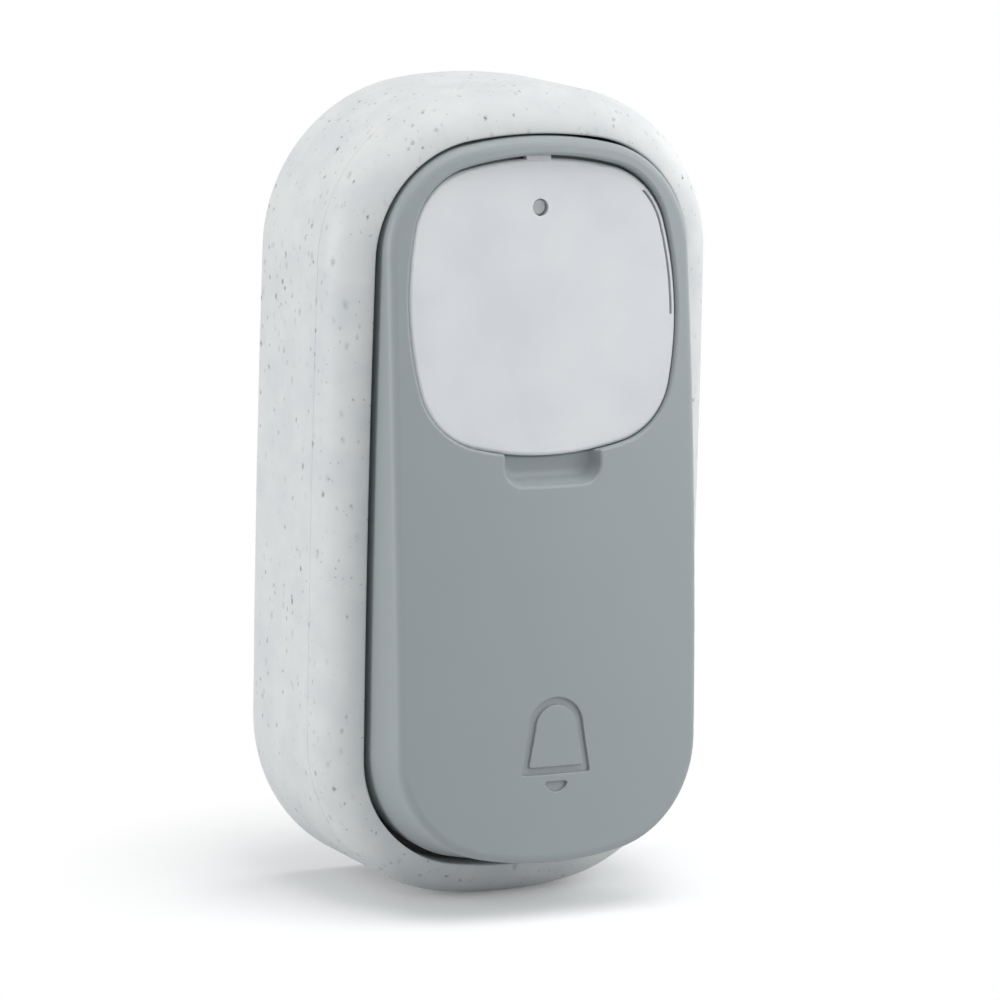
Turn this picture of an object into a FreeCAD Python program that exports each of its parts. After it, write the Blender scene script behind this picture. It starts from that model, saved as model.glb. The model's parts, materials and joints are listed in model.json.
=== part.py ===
"""Wireless doorbell button: a soft-edged wall case with a rocking push panel.

Millimetres, +Z up. The front looks along -Y and the back lies against the wall
in the plane y = 0, so a depth of d in front of the wall is y = -d.
The origin is the middle of the wall face of the wall plate.
"""
import FreeCAD, Part
import math
import os

V = FreeCAD.Vector
ORIGIN = V(0, 0, 0)
X_AXIS = V(1, 0, 0)
Y_AXIS = V(0, 1, 0)
Z_AXIS = V(0, 0, 1)
OUT = V(0, -1, 0)

# How far a cutting shape runs past the face that it opens
past = 1.0

# Case outline, seen from the front: eight tangent arcs
case_half_width = 22.2
case_half_height = 42.7
case_side_radius = 2000.0
case_end_radius = 48.0
case_corner_radius = 17.7

# Case walls and edges
case_back = 0.3
case_wall = 2.0
back_edge_radius = 1.0
front_roll_radius = 5.0
rim_thickness = 4.15
seam_setback = 0.25
seam_bevel = 0.12

# Opening for the panel, which sits a little low in the case
opening_side_inset = 4.1
opening_top_inset = 4.65
opening_foot_inset = 3.9
opening_side_radius = 2000.0
opening_end_radius = 49.2
opening_corner_radius = 12.4
opening_edge_radius = 0.25

# Joint between the two shells: a thin skirt of the front shell reaches into the rear shell
skirt_wall = 0.9
skirt_clearance = 0.1
seal_height = 0.5
seal_width = 0.8

# Wall plate, its screw slots and the hooks that carry the case
plate_thickness = 2.0
plate_gap = 0.4
plate_edge_radius = 0.3
screw_slot_radius = 2.1
screw_slot_length = 8.0
screw_slot_spacing = 46.0
screw_sink_radius = 3.8
screw_sink_depth = 1.0
lift_travel = 5.0
lift_clearance = 0.4
hook_side_gap = 1.0
hook_width = 2.4
hook_stem_height = 1.6
hook_lip_height = 3.4
hook_lip_thickness = 0.9
hook_foot_gap = 0.05
hook_floor_gap = 0.2
hook_low_z = -21.0
hook_high_z = 14.0
lug_thickness = 0.9
lug_height = 3.0
lug_root = 0.4
lug_plate_gap = 0.3
lug_lip_gap = 0.2

# Rear floor and battery door
floor_thickness = 1.6
door_z = -3.0
door_margin = 2.0
door_clearance = 0.1
door_recess = 0.1
door_tab_count = 3
door_tab_angle = 30.0
door_tab_reach = 1.4
door_tab_thickness = 0.8
door_tab_gap = 0.1
door_turn_angle = 45.0
door_slot_length = 16.0
door_slot_width = 1.8
door_slot_depth = 0.9
door_seal_radius = 0.45
door_seal_gap = 0.03
door_edge_radius = 0.3

# Coin cell and its holder
cell_radius = 10.0
cell_thickness = 3.2
cell_lid_step = 0.6
cell_lid_height = 0.4
cell_edge_radius = 0.3
cell_gap = 0.15
cell_side_gap = 0.15
holder_wall = 1.6
holder_back_gap = 0.3
holder_mouth = 7.0
clip_space = 1.1
clip_thickness = 0.25
clip_width = 3.0
clip_foot_length = 2.0
clip_half_length = 7.0
clip_flat_length = 3.0
clip_side_gap = 0.02

# Circuit board and what is soldered on it
board_thickness = 1.0
board_side_gap = 1.3
board_top_gap = 6.5
board_foot_gap = 9.5
board_corner_radius = 2.0
board_hole_clearance = 0.35
part_edge_radius = 0.3
chip_side = 5.0
chip_height = 0.9
chip_x = -4.0
chip_z = 8.0
crystal_length = 5.0
crystal_width = 3.2
crystal_height = 1.3
crystal_x = 4.5
crystal_z = 8.0
resistor_length = 1.6
resistor_width = 0.8
resistor_height = 0.5
resistor_pitch = 2.6
resistor_count = 5
resistor_z = 0.0
capacitor_length = 3.2
capacitor_width = 1.6
capacitor_height = 1.2
capacitor_pitch = 3.2
capacitor_count = 2
capacitor_z = 17.0
led_width = 2.0
led_length = 1.25
led_height = 0.8
aerial_wire_radius = 0.4
aerial_half_length = 12.0
aerial_rise = 1.0
aerial_bend_radius = 0.9
aerial_edge_gap = 1.9
aerial_z = 6.0
aerial_clearance = 0.1

# Switch under the bell
switch_rise = 15.4
switch_side = 6.2
switch_height = 3.1
switch_floor = 0.6
plunger_radius = 1.65
plunger_rise = 1.1
plunger_depth = 1.8
plunger_clearance = 0.08
pad_radius = 2.3
pad_thickness = 0.8
pad_gap = 0.04
press_boss_radius = 2.6

# Chassis between the board and the panel
chassis_thickness = 1.5
chassis_side_gap = 0.1
chassis_switch_gap = 0.6
bead_length = 6.0
bead_reach = 0.7
bead_height = 0.7
bead_root = 0.6
bead_gap = 0.1
bead_shoulder = 0.25
bead_spread = 26.0
boss_radius = 2.5
boss_side_gap = 1.8
boss_end_gap = 11.5
boss_floor_gap = 0.05
standoff_radius = 2.2
board_screw_side_gap = 3.3
board_screw_end_gap = 3.3

# Screws
case_screw_radius = 1.0
case_screw_length = 8.5
case_screw_head_radius = 1.9
case_screw_head_height = 1.2
case_screw_clearance = 0.2
board_screw_radius = 0.8
board_screw_length = 3.4
board_screw_head_radius = 1.6
board_screw_head_height = 0.9
cross_width = 0.45
cross_depth = 0.5
cross_share = 0.6
screw_tip_room = 0.4

# Push panel
panel_side_gap = 0.58
panel_top_gap = 0.2
panel_foot_gap = 1.95
panel_side_radius = 2000.0
panel_end_radius = 41.1
panel_corner_radius = 11.5
panel_proud = 6.35
panel_tilt = 5.38
panel_crown_radius = 95.0
panel_length_radius = 710.0
panel_wall = 1.8
panel_skirt_wall = 1.5
panel_edge_radius = 1.0
panel_press_angle = 0.6
panel_back_gap = 0.4

# Panel hinge: a pin through two ears of the panel and two lugs of the chassis
hinge_drop = 2.3
hinge_rise = 0.2
hinge_pin_radius = 0.6
hinge_pin_length = 18.0
hinge_ear_x = 5.0
hinge_ear_width = 1.8
hinge_ear_radius = 1.3
hinge_lug_width = 1.8
hinge_side_gap = 0.2
hinge_end_gap = 0.4
hinge_top_room = 0.6
running_clearance = 0.06

# Stop hooks of the panel, which pass through the chassis and catch behind it
stop_z = -14.0
stop_width = 4.0
stop_thickness = 1.1
stop_barb = 0.9
stop_barb_height = 0.8
stop_side_gap = 0.8
stop_slot_gap = 0.5
stop_catch_gap = 0.05

# Name window, a flat plate let into the panel
window_half_height = 15.26
window_side_radius = 36.3
window_end_radius = 35.5
window_corner_radius = 7.9
window_side_margin = 2.17
window_top_margin = 2.06
window_recess = 1.5
window_lean = 2.2
window_thickness = 1.2
window_edge_radius = 0.4
window_gap = 0.08
window_top_gap = 0.3
window_seat_gap = 0.03
window_back_wall = 1.0
window_side_wall = 1.2
pocket_edge_radius = 0.3
tongue_width = 2.8
tongue_length = 0.95
tongue_thickness = 0.8
tongue_clearance = 0.15
tongue_drop = 0.05
slit_inset = 0.42
slit_width = 0.28
slit_low = -1.3
slit_high = 11.6

# Name card behind the window
card_inset = 1.2
card_thickness = 0.25
card_clearance = 0.1
card_hole_clearance = 0.35

# Indicator light
light_rise = 10.1
light_hole_radius = 0.9
light_pipe_radius = 1.0
light_pipe_gap = 0.3
light_pipe_clearance = 0.6

# Fingernail notch under the window
notch_half_width = 5.7
notch_drop = 2.9
notch_corner_radius = 2.2
notch_depth = 2.5
notch_draft = 16.0
notch_floor_radius = 0.9
notch_edge_radius = 0.3

# Engraved bell and clapper
bell_rise = 9.44
bell_height = 8.0
bell_half_base = 3.95
bell_dome_radius = 3.15
bell_groove_width = 0.8
bell_groove_depth = 0.35
bell_edge_radius = 0.1
bell_corner_radius = 0.25
clapper_half_width = 1.35
clapper_height = 1.1
clapper_gap = 0.75

# Depths that follow from the pieces stacked between the wall and the panel
lug_back = plate_thickness + lug_plate_gap
hook_lip_back = lug_back + lug_thickness + lug_lip_gap
hook_front = hook_lip_back + hook_lip_thickness
floor_back = hook_front + hook_floor_gap
floor_front = floor_back + floor_thickness
door_back = floor_back + door_recess
door_front = floor_front + door_tab_gap + door_tab_thickness
cell_back = door_front + cell_gap
cell_front = cell_back + cell_thickness
board_back = cell_front + clip_space
board_front = board_back + board_thickness
aerial_front = board_front + aerial_rise + 2 * aerial_wire_radius
chassis_back = aerial_front + aerial_clearance
chassis_front = chassis_back + chassis_thickness
case_depth = chassis_front + rim_thickness
bead_front = chassis_back - bead_gap
skirt_back = bead_front - bead_height - bead_shoulder
rebate_floor = skirt_back - seal_height
seam_depth = case_depth - front_roll_radius - seam_setback
switch_front = board_front + switch_height
plunger_back = switch_front - plunger_depth
plunger_front = switch_front + plunger_rise
pad_back = plunger_front + pad_gap
hinge_depth = chassis_front + hinge_rise
crown_depth = case_depth + panel_proud
stop_barb_front = chassis_back - stop_catch_gap
light_pipe_back = board_front + led_height + light_pipe_gap
door_seal_depth = floor_back + floor_thickness / 2

# Places that follow from the outline and from each other
inner_half_width = case_half_width - case_wall
inner_half_height = case_half_height - case_wall
opening_half_width = case_half_width - opening_side_inset
opening_high_z = case_half_height - opening_top_inset
opening_low_z = opening_foot_inset - case_half_height
panel_half_width = opening_half_width - panel_side_gap
panel_high_z = opening_high_z - panel_top_gap
panel_low_z = opening_low_z + panel_foot_gap
hinge_z = panel_high_z - hinge_drop
panel_throw = (hinge_z - panel_low_z) * math.sin(math.radians(panel_press_angle))
panel_skirt_back = chassis_front + panel_throw + panel_back_gap
switch_z = switch_rise + panel_low_z
window_half_width = panel_half_width - window_side_margin
window_z = panel_high_z - window_top_margin - window_half_height
window_tilt = panel_tilt + window_lean
light_z = window_z + light_rise
bell_base_z = bell_rise + panel_low_z
hook_x = inner_half_width - hook_side_gap - hook_width / 2
boss_x = inner_half_width - boss_side_gap - boss_radius
boss_z = inner_half_height - boss_end_gap
door_radius = cell_radius + door_margin
board_half_width = boss_x - boss_radius - board_side_gap
board_high_z = inner_half_height - board_top_gap
board_low_z = board_foot_gap - inner_half_height
board_screw_x = board_half_width - board_screw_side_gap
aerial_x = board_half_width - aerial_edge_gap
stop_x = panel_half_width - panel_skirt_wall - stop_side_gap - stop_barb

notch_low_z = window_z - window_half_height - notch_drop

# Levels inside the window's pocket, measured outward from the window's face
seat_level = -window_thickness - window_seat_gap
card_bed_level = seat_level - card_thickness
tub_level = card_bed_level - window_back_wall


def box(x0, x1, depth0, depth1, z0, z1):
    """Block between two depths in front of the wall."""
    return Part.makeBox(x1 - x0, depth1 - depth0, z1 - z0, V(x0, -depth1, z0))


def rod_out(x, z, radius, depth0, depth1):
    """Round bar that runs straight out from the wall."""
    return Part.makeCylinder(radius, depth1 - depth0, V(x, -depth0, z), OUT)


def rod_across(depth, z, radius, x0, x1):
    """Round bar that runs left to right."""
    return Part.makeCylinder(radius, x1 - x0, V(x0, -depth, z), X_AXIS)


def on_side(solid, side):
    """The solid as built for the right, or its mirror image on the left."""
    return solid if side > 0 else solid.mirror(ORIGIN, X_AXIS)


def joined(solids):
    """One solid from several, with no seams left between faces that run on."""
    return solids[0].fuse(solids[1:]).removeSplitter()


def soft_outline(half_width, half_height, side_radius, end_radius, corner_radius, inset=0.0):
    """Closed outline of eight tangent arcs in the XZ plane, moved inwards by inset.

    Two long arcs make the sides, two make the ends, and four tighter arcs join them.
    """
    side = V(half_width - side_radius, 0, 0)
    end = V(0, 0, half_height - end_radius)
    span = end - side
    reach_side = side_radius - corner_radius
    reach_end = end_radius - corner_radius
    along = (reach_side ** 2 - reach_end ** 2 + span.Length ** 2) / (2 * span.Length)
    aside = math.sqrt(reach_side ** 2 - along ** 2)
    unit = V(span).normalize()
    normal = V(unit.z, 0, -unit.x)
    corner = max((side + unit * along + normal * aside, side + unit * along - normal * aside),
                 key=lambda point: point.x + point.z)
    to_side = (corner - side).normalize()
    to_end = (corner - end).normalize()
    joint_side = side + to_side * (side_radius - inset)
    joint_end = end + to_end * (end_radius - inset)
    joint_mid = corner + (to_side + to_end).normalize() * (corner_radius - inset)
    right = V(half_width - inset, 0, 0)
    top = V(0, 0, half_height - inset)

    def arc(*points):
        return Part.Arc(*[V(point.x * sx, 0, point.z * sz) for point, sx, sz in points]).toShape()

    edges = [arc((joint_side, sx, sz), (joint_mid, sx, sz), (joint_end, sx, sz))
             for sx in (1, -1) for sz in (1, -1)]
    edges += [arc((joint_side, sx, 1), (right, sx, 1), (joint_side, sx, -1)) for sx in (1, -1)]
    edges += [arc((joint_end, 1, sz), (top, 1, sz), (joint_end, -1, sz)) for sz in (1, -1)]
    return Part.Wire(Part.__sortEdges__(edges))


def slab(wire, depth0, depth1):
    """Outline made solid between two depths."""
    solid = Part.Face(wire).extrude(OUT * (depth1 - depth0))
    solid.translate(OUT * depth0)
    return solid


def case_slab(inset, depth0, depth1):
    return slab(soft_outline(case_half_width, case_half_height, case_side_radius,
                             case_end_radius, case_corner_radius, inset), depth0, depth1)


def opening_slab(depth0, depth1):
    """Outline of the opening in the front made solid between two depths."""
    solid = slab(soft_outline(opening_half_width, (opening_high_z - opening_low_z) / 2, opening_side_radius,
                              opening_end_radius, opening_corner_radius), depth0, depth1)
    solid.translate(Z_AXIS * (opening_high_z + opening_low_z) / 2)
    return solid


def panel_slab(inset, depth0, depth1):
    """Outline of the panel made solid between two depths."""
    solid = slab(soft_outline(panel_half_width, (panel_high_z - panel_low_z) / 2, panel_side_radius,
                              panel_end_radius, panel_corner_radius, inset), depth0, depth1)
    solid.translate(Z_AXIS * (panel_high_z + panel_low_z) / 2)
    return solid


def case_ring(outer_inset, inner_inset, depth0, depth1):
    return case_slab(outer_inset, depth0, depth1).cut(case_slab(inner_inset, depth0, depth1))


def edges_at_depth(solid, depth):
    """Edges whose every corner lies at one depth."""
    return [edge for edge in solid.Edges
            if all(abs(vertex.Point.y + depth) < 1e-4 for vertex in edge.Vertexes)]


def upright_edges(solid):
    """Straight edges that run out from the wall."""
    return [edge for edge in solid.Edges
            if (edge.Vertexes[-1].Point - edge.Vertexes[0].Point).cross(Y_AXIS).Length < 1e-6]


def shared_edges(solid, first, second):
    """Edges of a solid that lie on the skins of two others, as where one was cut by the other."""
    skins = (first.Shells[0], second.Shells[0])
    found = []
    for edge in solid.Edges:
        start, stop = edge.ParameterRange
        points = [Part.Vertex(edge.valueAt(start + share * (stop - start))) for share in (0.2, 0.5, 0.8)]
        if all(point.distToShape(skin)[0] < 1e-3 for point in points for skin in skins):
            found.append(edge)
    return found


def case_body():
    """Outside of both shells as one block, with its small back edge and large front roll."""
    body = case_slab(0, case_back, case_depth)
    body = body.makeFillet(back_edge_radius, edges_at_depth(body, case_back))
    return body.makeFillet(front_roll_radius, edges_at_depth(body, case_depth))


def seam_bevelled(shell):
    """Shell with the fine bevel that makes the seam show, on its outer edge at the seam."""
    whole = case_body()
    parting = box(-case_half_width - past, case_half_width + past, seam_depth, case_depth + past,
                  -case_half_height - past, case_half_height + past)
    return shell.makeChamfer(seam_bevel, shared_edges(shell, whole, parting))


def hook_places():
    """Side and foot height of each of the four hooks."""
    return [(side, z) for side in (-1, 1) for z in (hook_low_z, hook_high_z)]


def wall_plate():
    """Plate fixed to the wall, short at its foot so that the case can be lifted off it."""
    plate = case_slab(case_wall + plate_gap, 0, plate_thickness)
    lifted = case_slab(case_wall + plate_gap, 0, plate_thickness)
    lifted.translate(Z_AXIS * (lift_travel + lift_clearance - plate_gap))
    plate = plate.common(lifted)
    plate = plate.makeFillet(plate_edge_radius, edges_at_depth(plate, 0) + edges_at_depth(plate, plate_thickness))
    solids = [plate]
    x0 = hook_x - hook_width / 2
    x1 = hook_x + hook_width / 2
    for side, z in hook_places():
        stem = box(x0, x1, plate_thickness, hook_front, z, z + hook_stem_height - hook_foot_gap)
        lip = box(x0, x1, hook_lip_back, hook_front, z, z + hook_stem_height + hook_lip_height)
        solids += [on_side(stem, side), on_side(lip, side)]
    plate = joined(solids)
    half = screw_slot_length / 2 - screw_slot_radius
    for z in (-screw_slot_spacing / 2, screw_slot_spacing / 2):
        for radius, depth in ((screw_slot_radius, -past),
                              (screw_sink_radius, plate_thickness - screw_sink_depth)):
            front = plate_thickness + past
            plate = plate.cut([rod_out(0, z - half, radius, depth, front),
                               rod_out(0, z + half, radius, depth, front),
                               box(-radius, radius, depth, front, z - half, z + half)])
    return plate


def boss_places():
    """Places of the four screw bosses that hold the case together."""
    return [(sx * boss_x, sz * boss_z) for sx in (-1, 1) for sz in (-1, 1)]


def door_tab(angle, grow, depth0, depth1):
    """One bayonet tab of the battery door, grown all round, pointing at an angle."""
    spread = door_tab_angle + 2 * math.degrees(grow / door_radius)
    wedge = Part.makeCylinder(door_radius + door_tab_reach + grow, depth1 - depth0,
                              V(0, -depth1, 0), Y_AXIS, spread)
    wedge.rotate(ORIGIN, Y_AXIS, angle - spread / 2)
    wedge.translate(Z_AXIS * door_z)
    return wedge


def door_tab_angles():
    return [360.0 * i / door_tab_count for i in range(door_tab_count)]


def rear_shell():
    """Deep shell with a floor that carries the battery door and hangs on the plate's hooks."""
    shell = case_body().common(case_slab(-past, 0, seam_depth))
    shell = shell.cut([case_slab(case_wall, floor_front, case_depth),
                       case_slab(case_wall, 0, floor_back),
                       case_slab(case_wall - skirt_wall - skirt_clearance, rebate_floor, case_depth)])
    x0 = hook_x - hook_width / 2
    for side, z in hook_places():
        foot = z + hook_stem_height
        lug = box(x0, inner_half_width + lug_root, lug_back, lug_back + lug_thickness,
                  foot, foot + lug_height)
        shell = shell.fuse(on_side(lug, side))
    cutters = [rod_out(0, door_z, door_radius + door_clearance, floor_back - past, floor_front + past)]
    for angle in door_tab_angles():
        cutters.append(door_tab(angle + door_turn_angle, door_clearance,
                                floor_back - past, floor_front + past))
    for x, z in boss_places():
        cutters.append(rod_out(x, z, case_screw_radius + case_screw_clearance,
                               floor_back - past, floor_front + past))
    return seam_bevelled(shell.cut(cutters).removeSplitter())


def bead_places():
    """Side and height of each snap bead inside the front shell."""
    return [(side, z) for side in (-1, 1) for z in (-bead_spread / 2, bead_spread / 2)]


def front_shell():
    """Rolled front with the opening for the panel, clipped over the chassis."""
    shell = case_body().common(case_slab(-past, seam_depth, case_depth + past))
    skirt = case_ring(case_wall - skirt_wall, case_wall, skirt_back, seam_depth + skirt_wall)
    opening = opening_slab(skirt_back - past, case_depth + past)
    shell = shell.fuse(skirt).cut([case_slab(case_wall, skirt_back - past, chassis_front), opening])
    for side, z in bead_places():
        bead = box(inner_half_width - bead_reach, inner_half_width + bead_root,
                   bead_front - bead_height, bead_front, z - bead_length / 2, z + bead_length / 2)
        shell = shell.fuse(on_side(bead, side))
    shell = shell.removeSplitter()
    shell = shell.makeFillet(opening_edge_radius, shared_edges(shell, opening, case_body()))
    return seam_bevelled(shell)


def shell_seal():
    """Rubber ring between the end of the front shell's skirt and the rear shell's ledge."""
    inset = case_wall - skirt_wall
    return case_ring(inset, inset + seal_width, rebate_floor, skirt_back)


def crown(shift=0.0):
    """Solid behind the panel's crowned and tilted face, moved back by shift."""
    half = case_half_width + past
    drop = panel_crown_radius - math.sqrt(panel_crown_radius ** 2 - half ** 2)
    left = V(-half, drop, 0)
    right = V(half, drop, 0)
    left_back = V(-half, crown_depth, 0)
    right_back = V(half, crown_depth, 0)
    profile = Part.Face(Part.Wire([Part.Arc(left, ORIGIN, right).toShape(),
                                   Part.makeLine(right, right_back),
                                   Part.makeLine(right_back, left_back),
                                   Part.makeLine(left_back, left)]))
    swing = math.degrees((case_half_height + past) / panel_length_radius)
    centre = V(0, panel_length_radius, 0)
    profile.rotate(centre, X_AXIS, -swing)
    solid = profile.revolve(centre, X_AXIS, 2 * swing)
    solid.rotate(ORIGIN, X_AXIS, -panel_tilt)
    solid.translate(OUT * (crown_depth - shift))
    return solid


def crown_depth_at(z):
    """Depth of the panel's middle line at a height."""
    return crown_depth - z * math.tan(math.radians(panel_tilt)) - z ** 2 / (2 * panel_length_radius)


notch_floor = crown_depth_at(notch_low_z) - notch_depth


def place_on_window(shape):
    """Carry a shape drawn in the window's own flat frame to its tilted place."""
    shape.rotate(ORIGIN, X_AXIS, -window_tilt)
    shape.translate(V(0, window_recess - crown_depth_at(window_z), window_z))
    return shape


def window_slab(inset, front, back):
    """Window outline made solid between two levels, measured outward from its face."""
    return slab(soft_outline(window_half_width, window_half_height, window_side_radius,
                             window_end_radius, window_corner_radius, inset), back, front)


def pocket_slab(grow, front, back):
    """Outline of the window's pocket made solid, with its wider gap along the top."""
    lift = (window_top_gap - window_gap) / 2
    solid = slab(soft_outline(window_half_width, window_half_height + lift, window_side_radius,
                              window_end_radius, window_corner_radius, -window_gap - grow), back, front)
    solid.translate(Z_AXIS * lift)
    return solid


def light_level():
    """Height of the light hole in the window's own frame."""
    return light_rise / math.cos(math.radians(window_tilt))


def name_window():
    """Frosted flat window with its light hole, its top tongue and the slit on its right."""
    window = window_slab(0, 0, -window_thickness)
    window = window.makeFillet(window_edge_radius, edges_at_depth(window, 0))
    tongue = box(-tongue_width / 2, tongue_width / 2, -tongue_thickness, -tongue_drop,
                 window_half_height - past, window_half_height + tongue_length)
    slit = window_slab(slit_inset, past, -window_thickness - past)
    slit = slit.cut(window_slab(slit_inset + slit_width, past, -window_thickness - past))
    slit = slit.common(box(0, window_half_width, -window_thickness - past, past, slit_low, slit_high))
    hole = rod_out(0, light_level(), light_hole_radius, -window_thickness - past, past)
    return place_on_window(window.fuse(tongue).cut([slit, hole]).removeSplitter())


def name_card():
    """Blank paper label that lies in the shallow bed behind the window."""
    card = window_slab(card_inset, seat_level, card_bed_level)
    hole = rod_out(0, light_level(), light_pipe_radius + card_hole_clearance,
                   card_bed_level - past, past)
    return place_on_window(card.cut(hole))


def window_pocket():
    """What the window, its card and its tongue need cut out of the panel."""
    swing_room = math.hypot(tongue_length, tongue_thickness) + tongue_clearance
    pocket = pocket_slab(0, panel_proud, seat_level)
    card_bed = window_slab(card_inset - card_clearance, seat_level + card_thickness, card_bed_level)
    slot = box(-tongue_width / 2 - tongue_clearance, tongue_width / 2 + tongue_clearance,
               -swing_room, tongue_clearance, window_half_height - past,
               window_half_height + tongue_length + tongue_clearance)
    return [place_on_window(pocket), place_on_window(card_bed), place_on_window(slot)]


def notch_backing():
    """Thicker wall behind the notch, so that the scoop doesn't open into the panel's hollow."""
    wide = notch_half_width + window_side_wall
    return box(-wide, wide, notch_floor - window_back_wall, crown_depth,
               notch_low_z - window_side_wall, window_z - window_half_height + past)


def notch_outline(level):
    """Outline of the notch at a level above its floor: two sides and a foot, joined by round corners."""
    shrink = (notch_depth - level) * math.tan(math.radians(notch_draft))
    half = notch_half_width - shrink
    low = notch_low_z + shrink
    high = window_z - window_half_height + window_gap + past
    radius = notch_corner_radius - shrink
    knee = radius * (1 - math.sqrt(0.5))
    depth = -notch_floor - level
    foot_left = V(radius - half, depth, low)
    foot_right = V(half - radius, depth, low)
    side_left = V(-half, depth, low + radius)
    side_right = V(half, depth, low + radius)
    top_left = V(-half, depth, high)
    top_right = V(half, depth, high)
    return Part.Wire([Part.makeLine(top_left, side_left),
                      Part.Arc(side_left, V(knee - half, depth, low + knee), foot_left).toShape(),
                      Part.makeLine(foot_left, foot_right),
                      Part.Arc(foot_right, V(half - knee, depth, low + knee), side_right).toShape(),
                      Part.makeLine(side_right, top_right),
                      Part.makeLine(top_right, top_left)])


def notch_cutter():
    """Scoop under the window, with walls that lean outwards and a round bend at its floor."""
    scoop = Part.makeLoft([notch_outline(0), notch_outline(notch_depth + past)], True, True)
    top_z = scoop.BoundBox.ZMax
    bend = [edge for edge in edges_at_depth(scoop, notch_floor)
            if min(vertex.Point.z for vertex in edge.Vertexes) < top_z - past / 2]
    return scoop.makeFillet(notch_floor_radius, bend)


def bell_slab(inset):
    """Outline of the bell made solid: a dome on two flaring sides and a flat base."""
    radius = bell_dome_radius - inset
    centre_z = bell_base_z + bell_height - bell_dome_radius
    base_z = bell_base_z + inset
    half_base = bell_half_base - inset
    left = V(-radius, 0, centre_z)
    right = V(radius, 0, centre_z)
    base_left = V(-half_base, 0, base_z)
    base_right = V(half_base, 0, base_z)
    wire = Part.Wire([Part.Arc(left, V(0, 0, centre_z + radius), right).toShape(),
                      Part.makeLine(right, base_right),
                      Part.makeLine(base_right, base_left),
                      Part.makeLine(base_left, left)])
    bell = slab(wire, case_depth, crown_depth + panel_proud)
    corners = [edge for edge in upright_edges(bell) if abs(edge.Vertexes[0].Point.z - base_z) < 1e-6]
    return bell.makeFillet(bell_corner_radius, corners)


def bell_cutters():
    """Bell groove and clapper, cut to one depth below the crowned face."""
    below = crown(bell_groove_depth)
    chord_z = bell_base_z - clapper_gap
    left = V(-clapper_half_width, 0, chord_z)
    right = V(clapper_half_width, 0, chord_z)
    wire = Part.Wire([Part.Arc(left, V(0, 0, chord_z - clapper_height), right).toShape(),
                      Part.makeLine(right, left)])
    clapper = slab(wire, case_depth, crown_depth + panel_proud)
    clapper = clapper.makeFillet(bell_corner_radius, upright_edges(clapper))
    groove = bell_slab(0).cut(bell_slab(bell_groove_width))
    return [groove.cut(below), clapper.cut(below)]


def stop_hook(side):
    """Hook on the panel's back that catches behind the chassis and stops the panel's return."""
    back = stop_barb_front - stop_barb_height
    stem = box(stop_x - stop_thickness, stop_x, back, crown_depth,
               stop_z - stop_width / 2, stop_z + stop_width / 2)
    barb = box(stop_x - stop_thickness, stop_x + stop_barb, back, stop_barb_front,
               stop_z - stop_width / 2, stop_z + stop_width / 2)
    return on_side(stem.fuse(barb), side)


def hinge_ear(side):
    """Ear on the panel's back, round its bore for the hinge pin."""
    x1 = hinge_ear_x + hinge_ear_width
    ear = rod_across(hinge_depth, hinge_z, hinge_ear_radius, hinge_ear_x, x1)
    root = box(hinge_ear_x, x1, hinge_depth, crown_depth,
               hinge_z - hinge_ear_radius, hinge_z + hinge_ear_radius)
    return on_side(ear.fuse(root), side)


def push_panel():
    """Crowned rocker panel: a thin shell with the window's pocket, ears, boss and stop hooks."""
    face = crown()
    outer = panel_slab(0, panel_skirt_back, crown_depth + panel_proud)
    shell = outer.common(face)
    shell = shell.makeFillet(panel_edge_radius, shared_edges(shell, outer, face))
    hollow = panel_slab(panel_skirt_wall, panel_skirt_back - past, crown_depth)
    tub = place_on_window(pocket_slab(window_side_wall, panel_proud, tub_level))
    shell = shell.cut(hollow.common(crown(panel_wall)).cut([tub, notch_backing()]))
    hinge_room = hinge_depth + hinge_ear_radius + hinge_top_room
    shell = shell.cut(box(-case_half_width, case_half_width, 0, hinge_room,
                          hinge_z - hinge_ear_radius - hinge_top_room, case_half_height))
    boss = rod_out(0, switch_z, press_boss_radius, pad_back + pad_thickness, crown_depth)
    inside = crown(panel_wall / 2)
    for piece in (boss, hinge_ear(-1), hinge_ear(1), stop_hook(-1), stop_hook(1)):
        shell = shell.fuse(piece.common(inside))
    pocket, card_bed, tongue_slot = window_pocket()
    shell = shell.cut([pocket, card_bed])
    shell = shell.makeFillet(pocket_edge_radius, shared_edges(shell, pocket, face))
    shell = shell.cut([tongue_slot,
                       rod_across(hinge_depth, hinge_z, hinge_pin_radius + running_clearance,
                                  -hinge_pin_length, hinge_pin_length),
                       rod_out(0, light_z, light_pipe_radius, chassis_back, crown_depth)])
    notch = notch_cutter()
    shell = shell.cut(notch)
    shell = shell.makeFillet(notch_edge_radius, shared_edges(shell, notch, face))
    for mark in bell_cutters():
        shell = shell.cut(mark)
        shell = shell.makeFillet(bell_edge_radius, shared_edges(shell, mark, face))
    return shell.removeSplitter()


def panel_hinge_pin():
    return rod_across(hinge_depth, hinge_z, hinge_pin_radius,
                      -hinge_pin_length / 2, hinge_pin_length / 2)


def press_pad():
    """Rubber pad on the panel's boss, over the switch."""
    return rod_out(0, switch_z, pad_radius, pad_back, pad_back + pad_thickness)


def light_pipe():
    """Clear rod that carries the light from the board to the hole in the window."""
    rod = rod_out(0, light_z, light_pipe_radius, light_pipe_back, crown_depth)
    return rod.cut(place_on_window(pocket_slab(past, crown_depth, seat_level)))


def board_screw_places():
    return [(-board_screw_x, board_high_z - board_screw_end_gap),
            (board_screw_x, board_low_z + board_screw_end_gap)]


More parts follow.
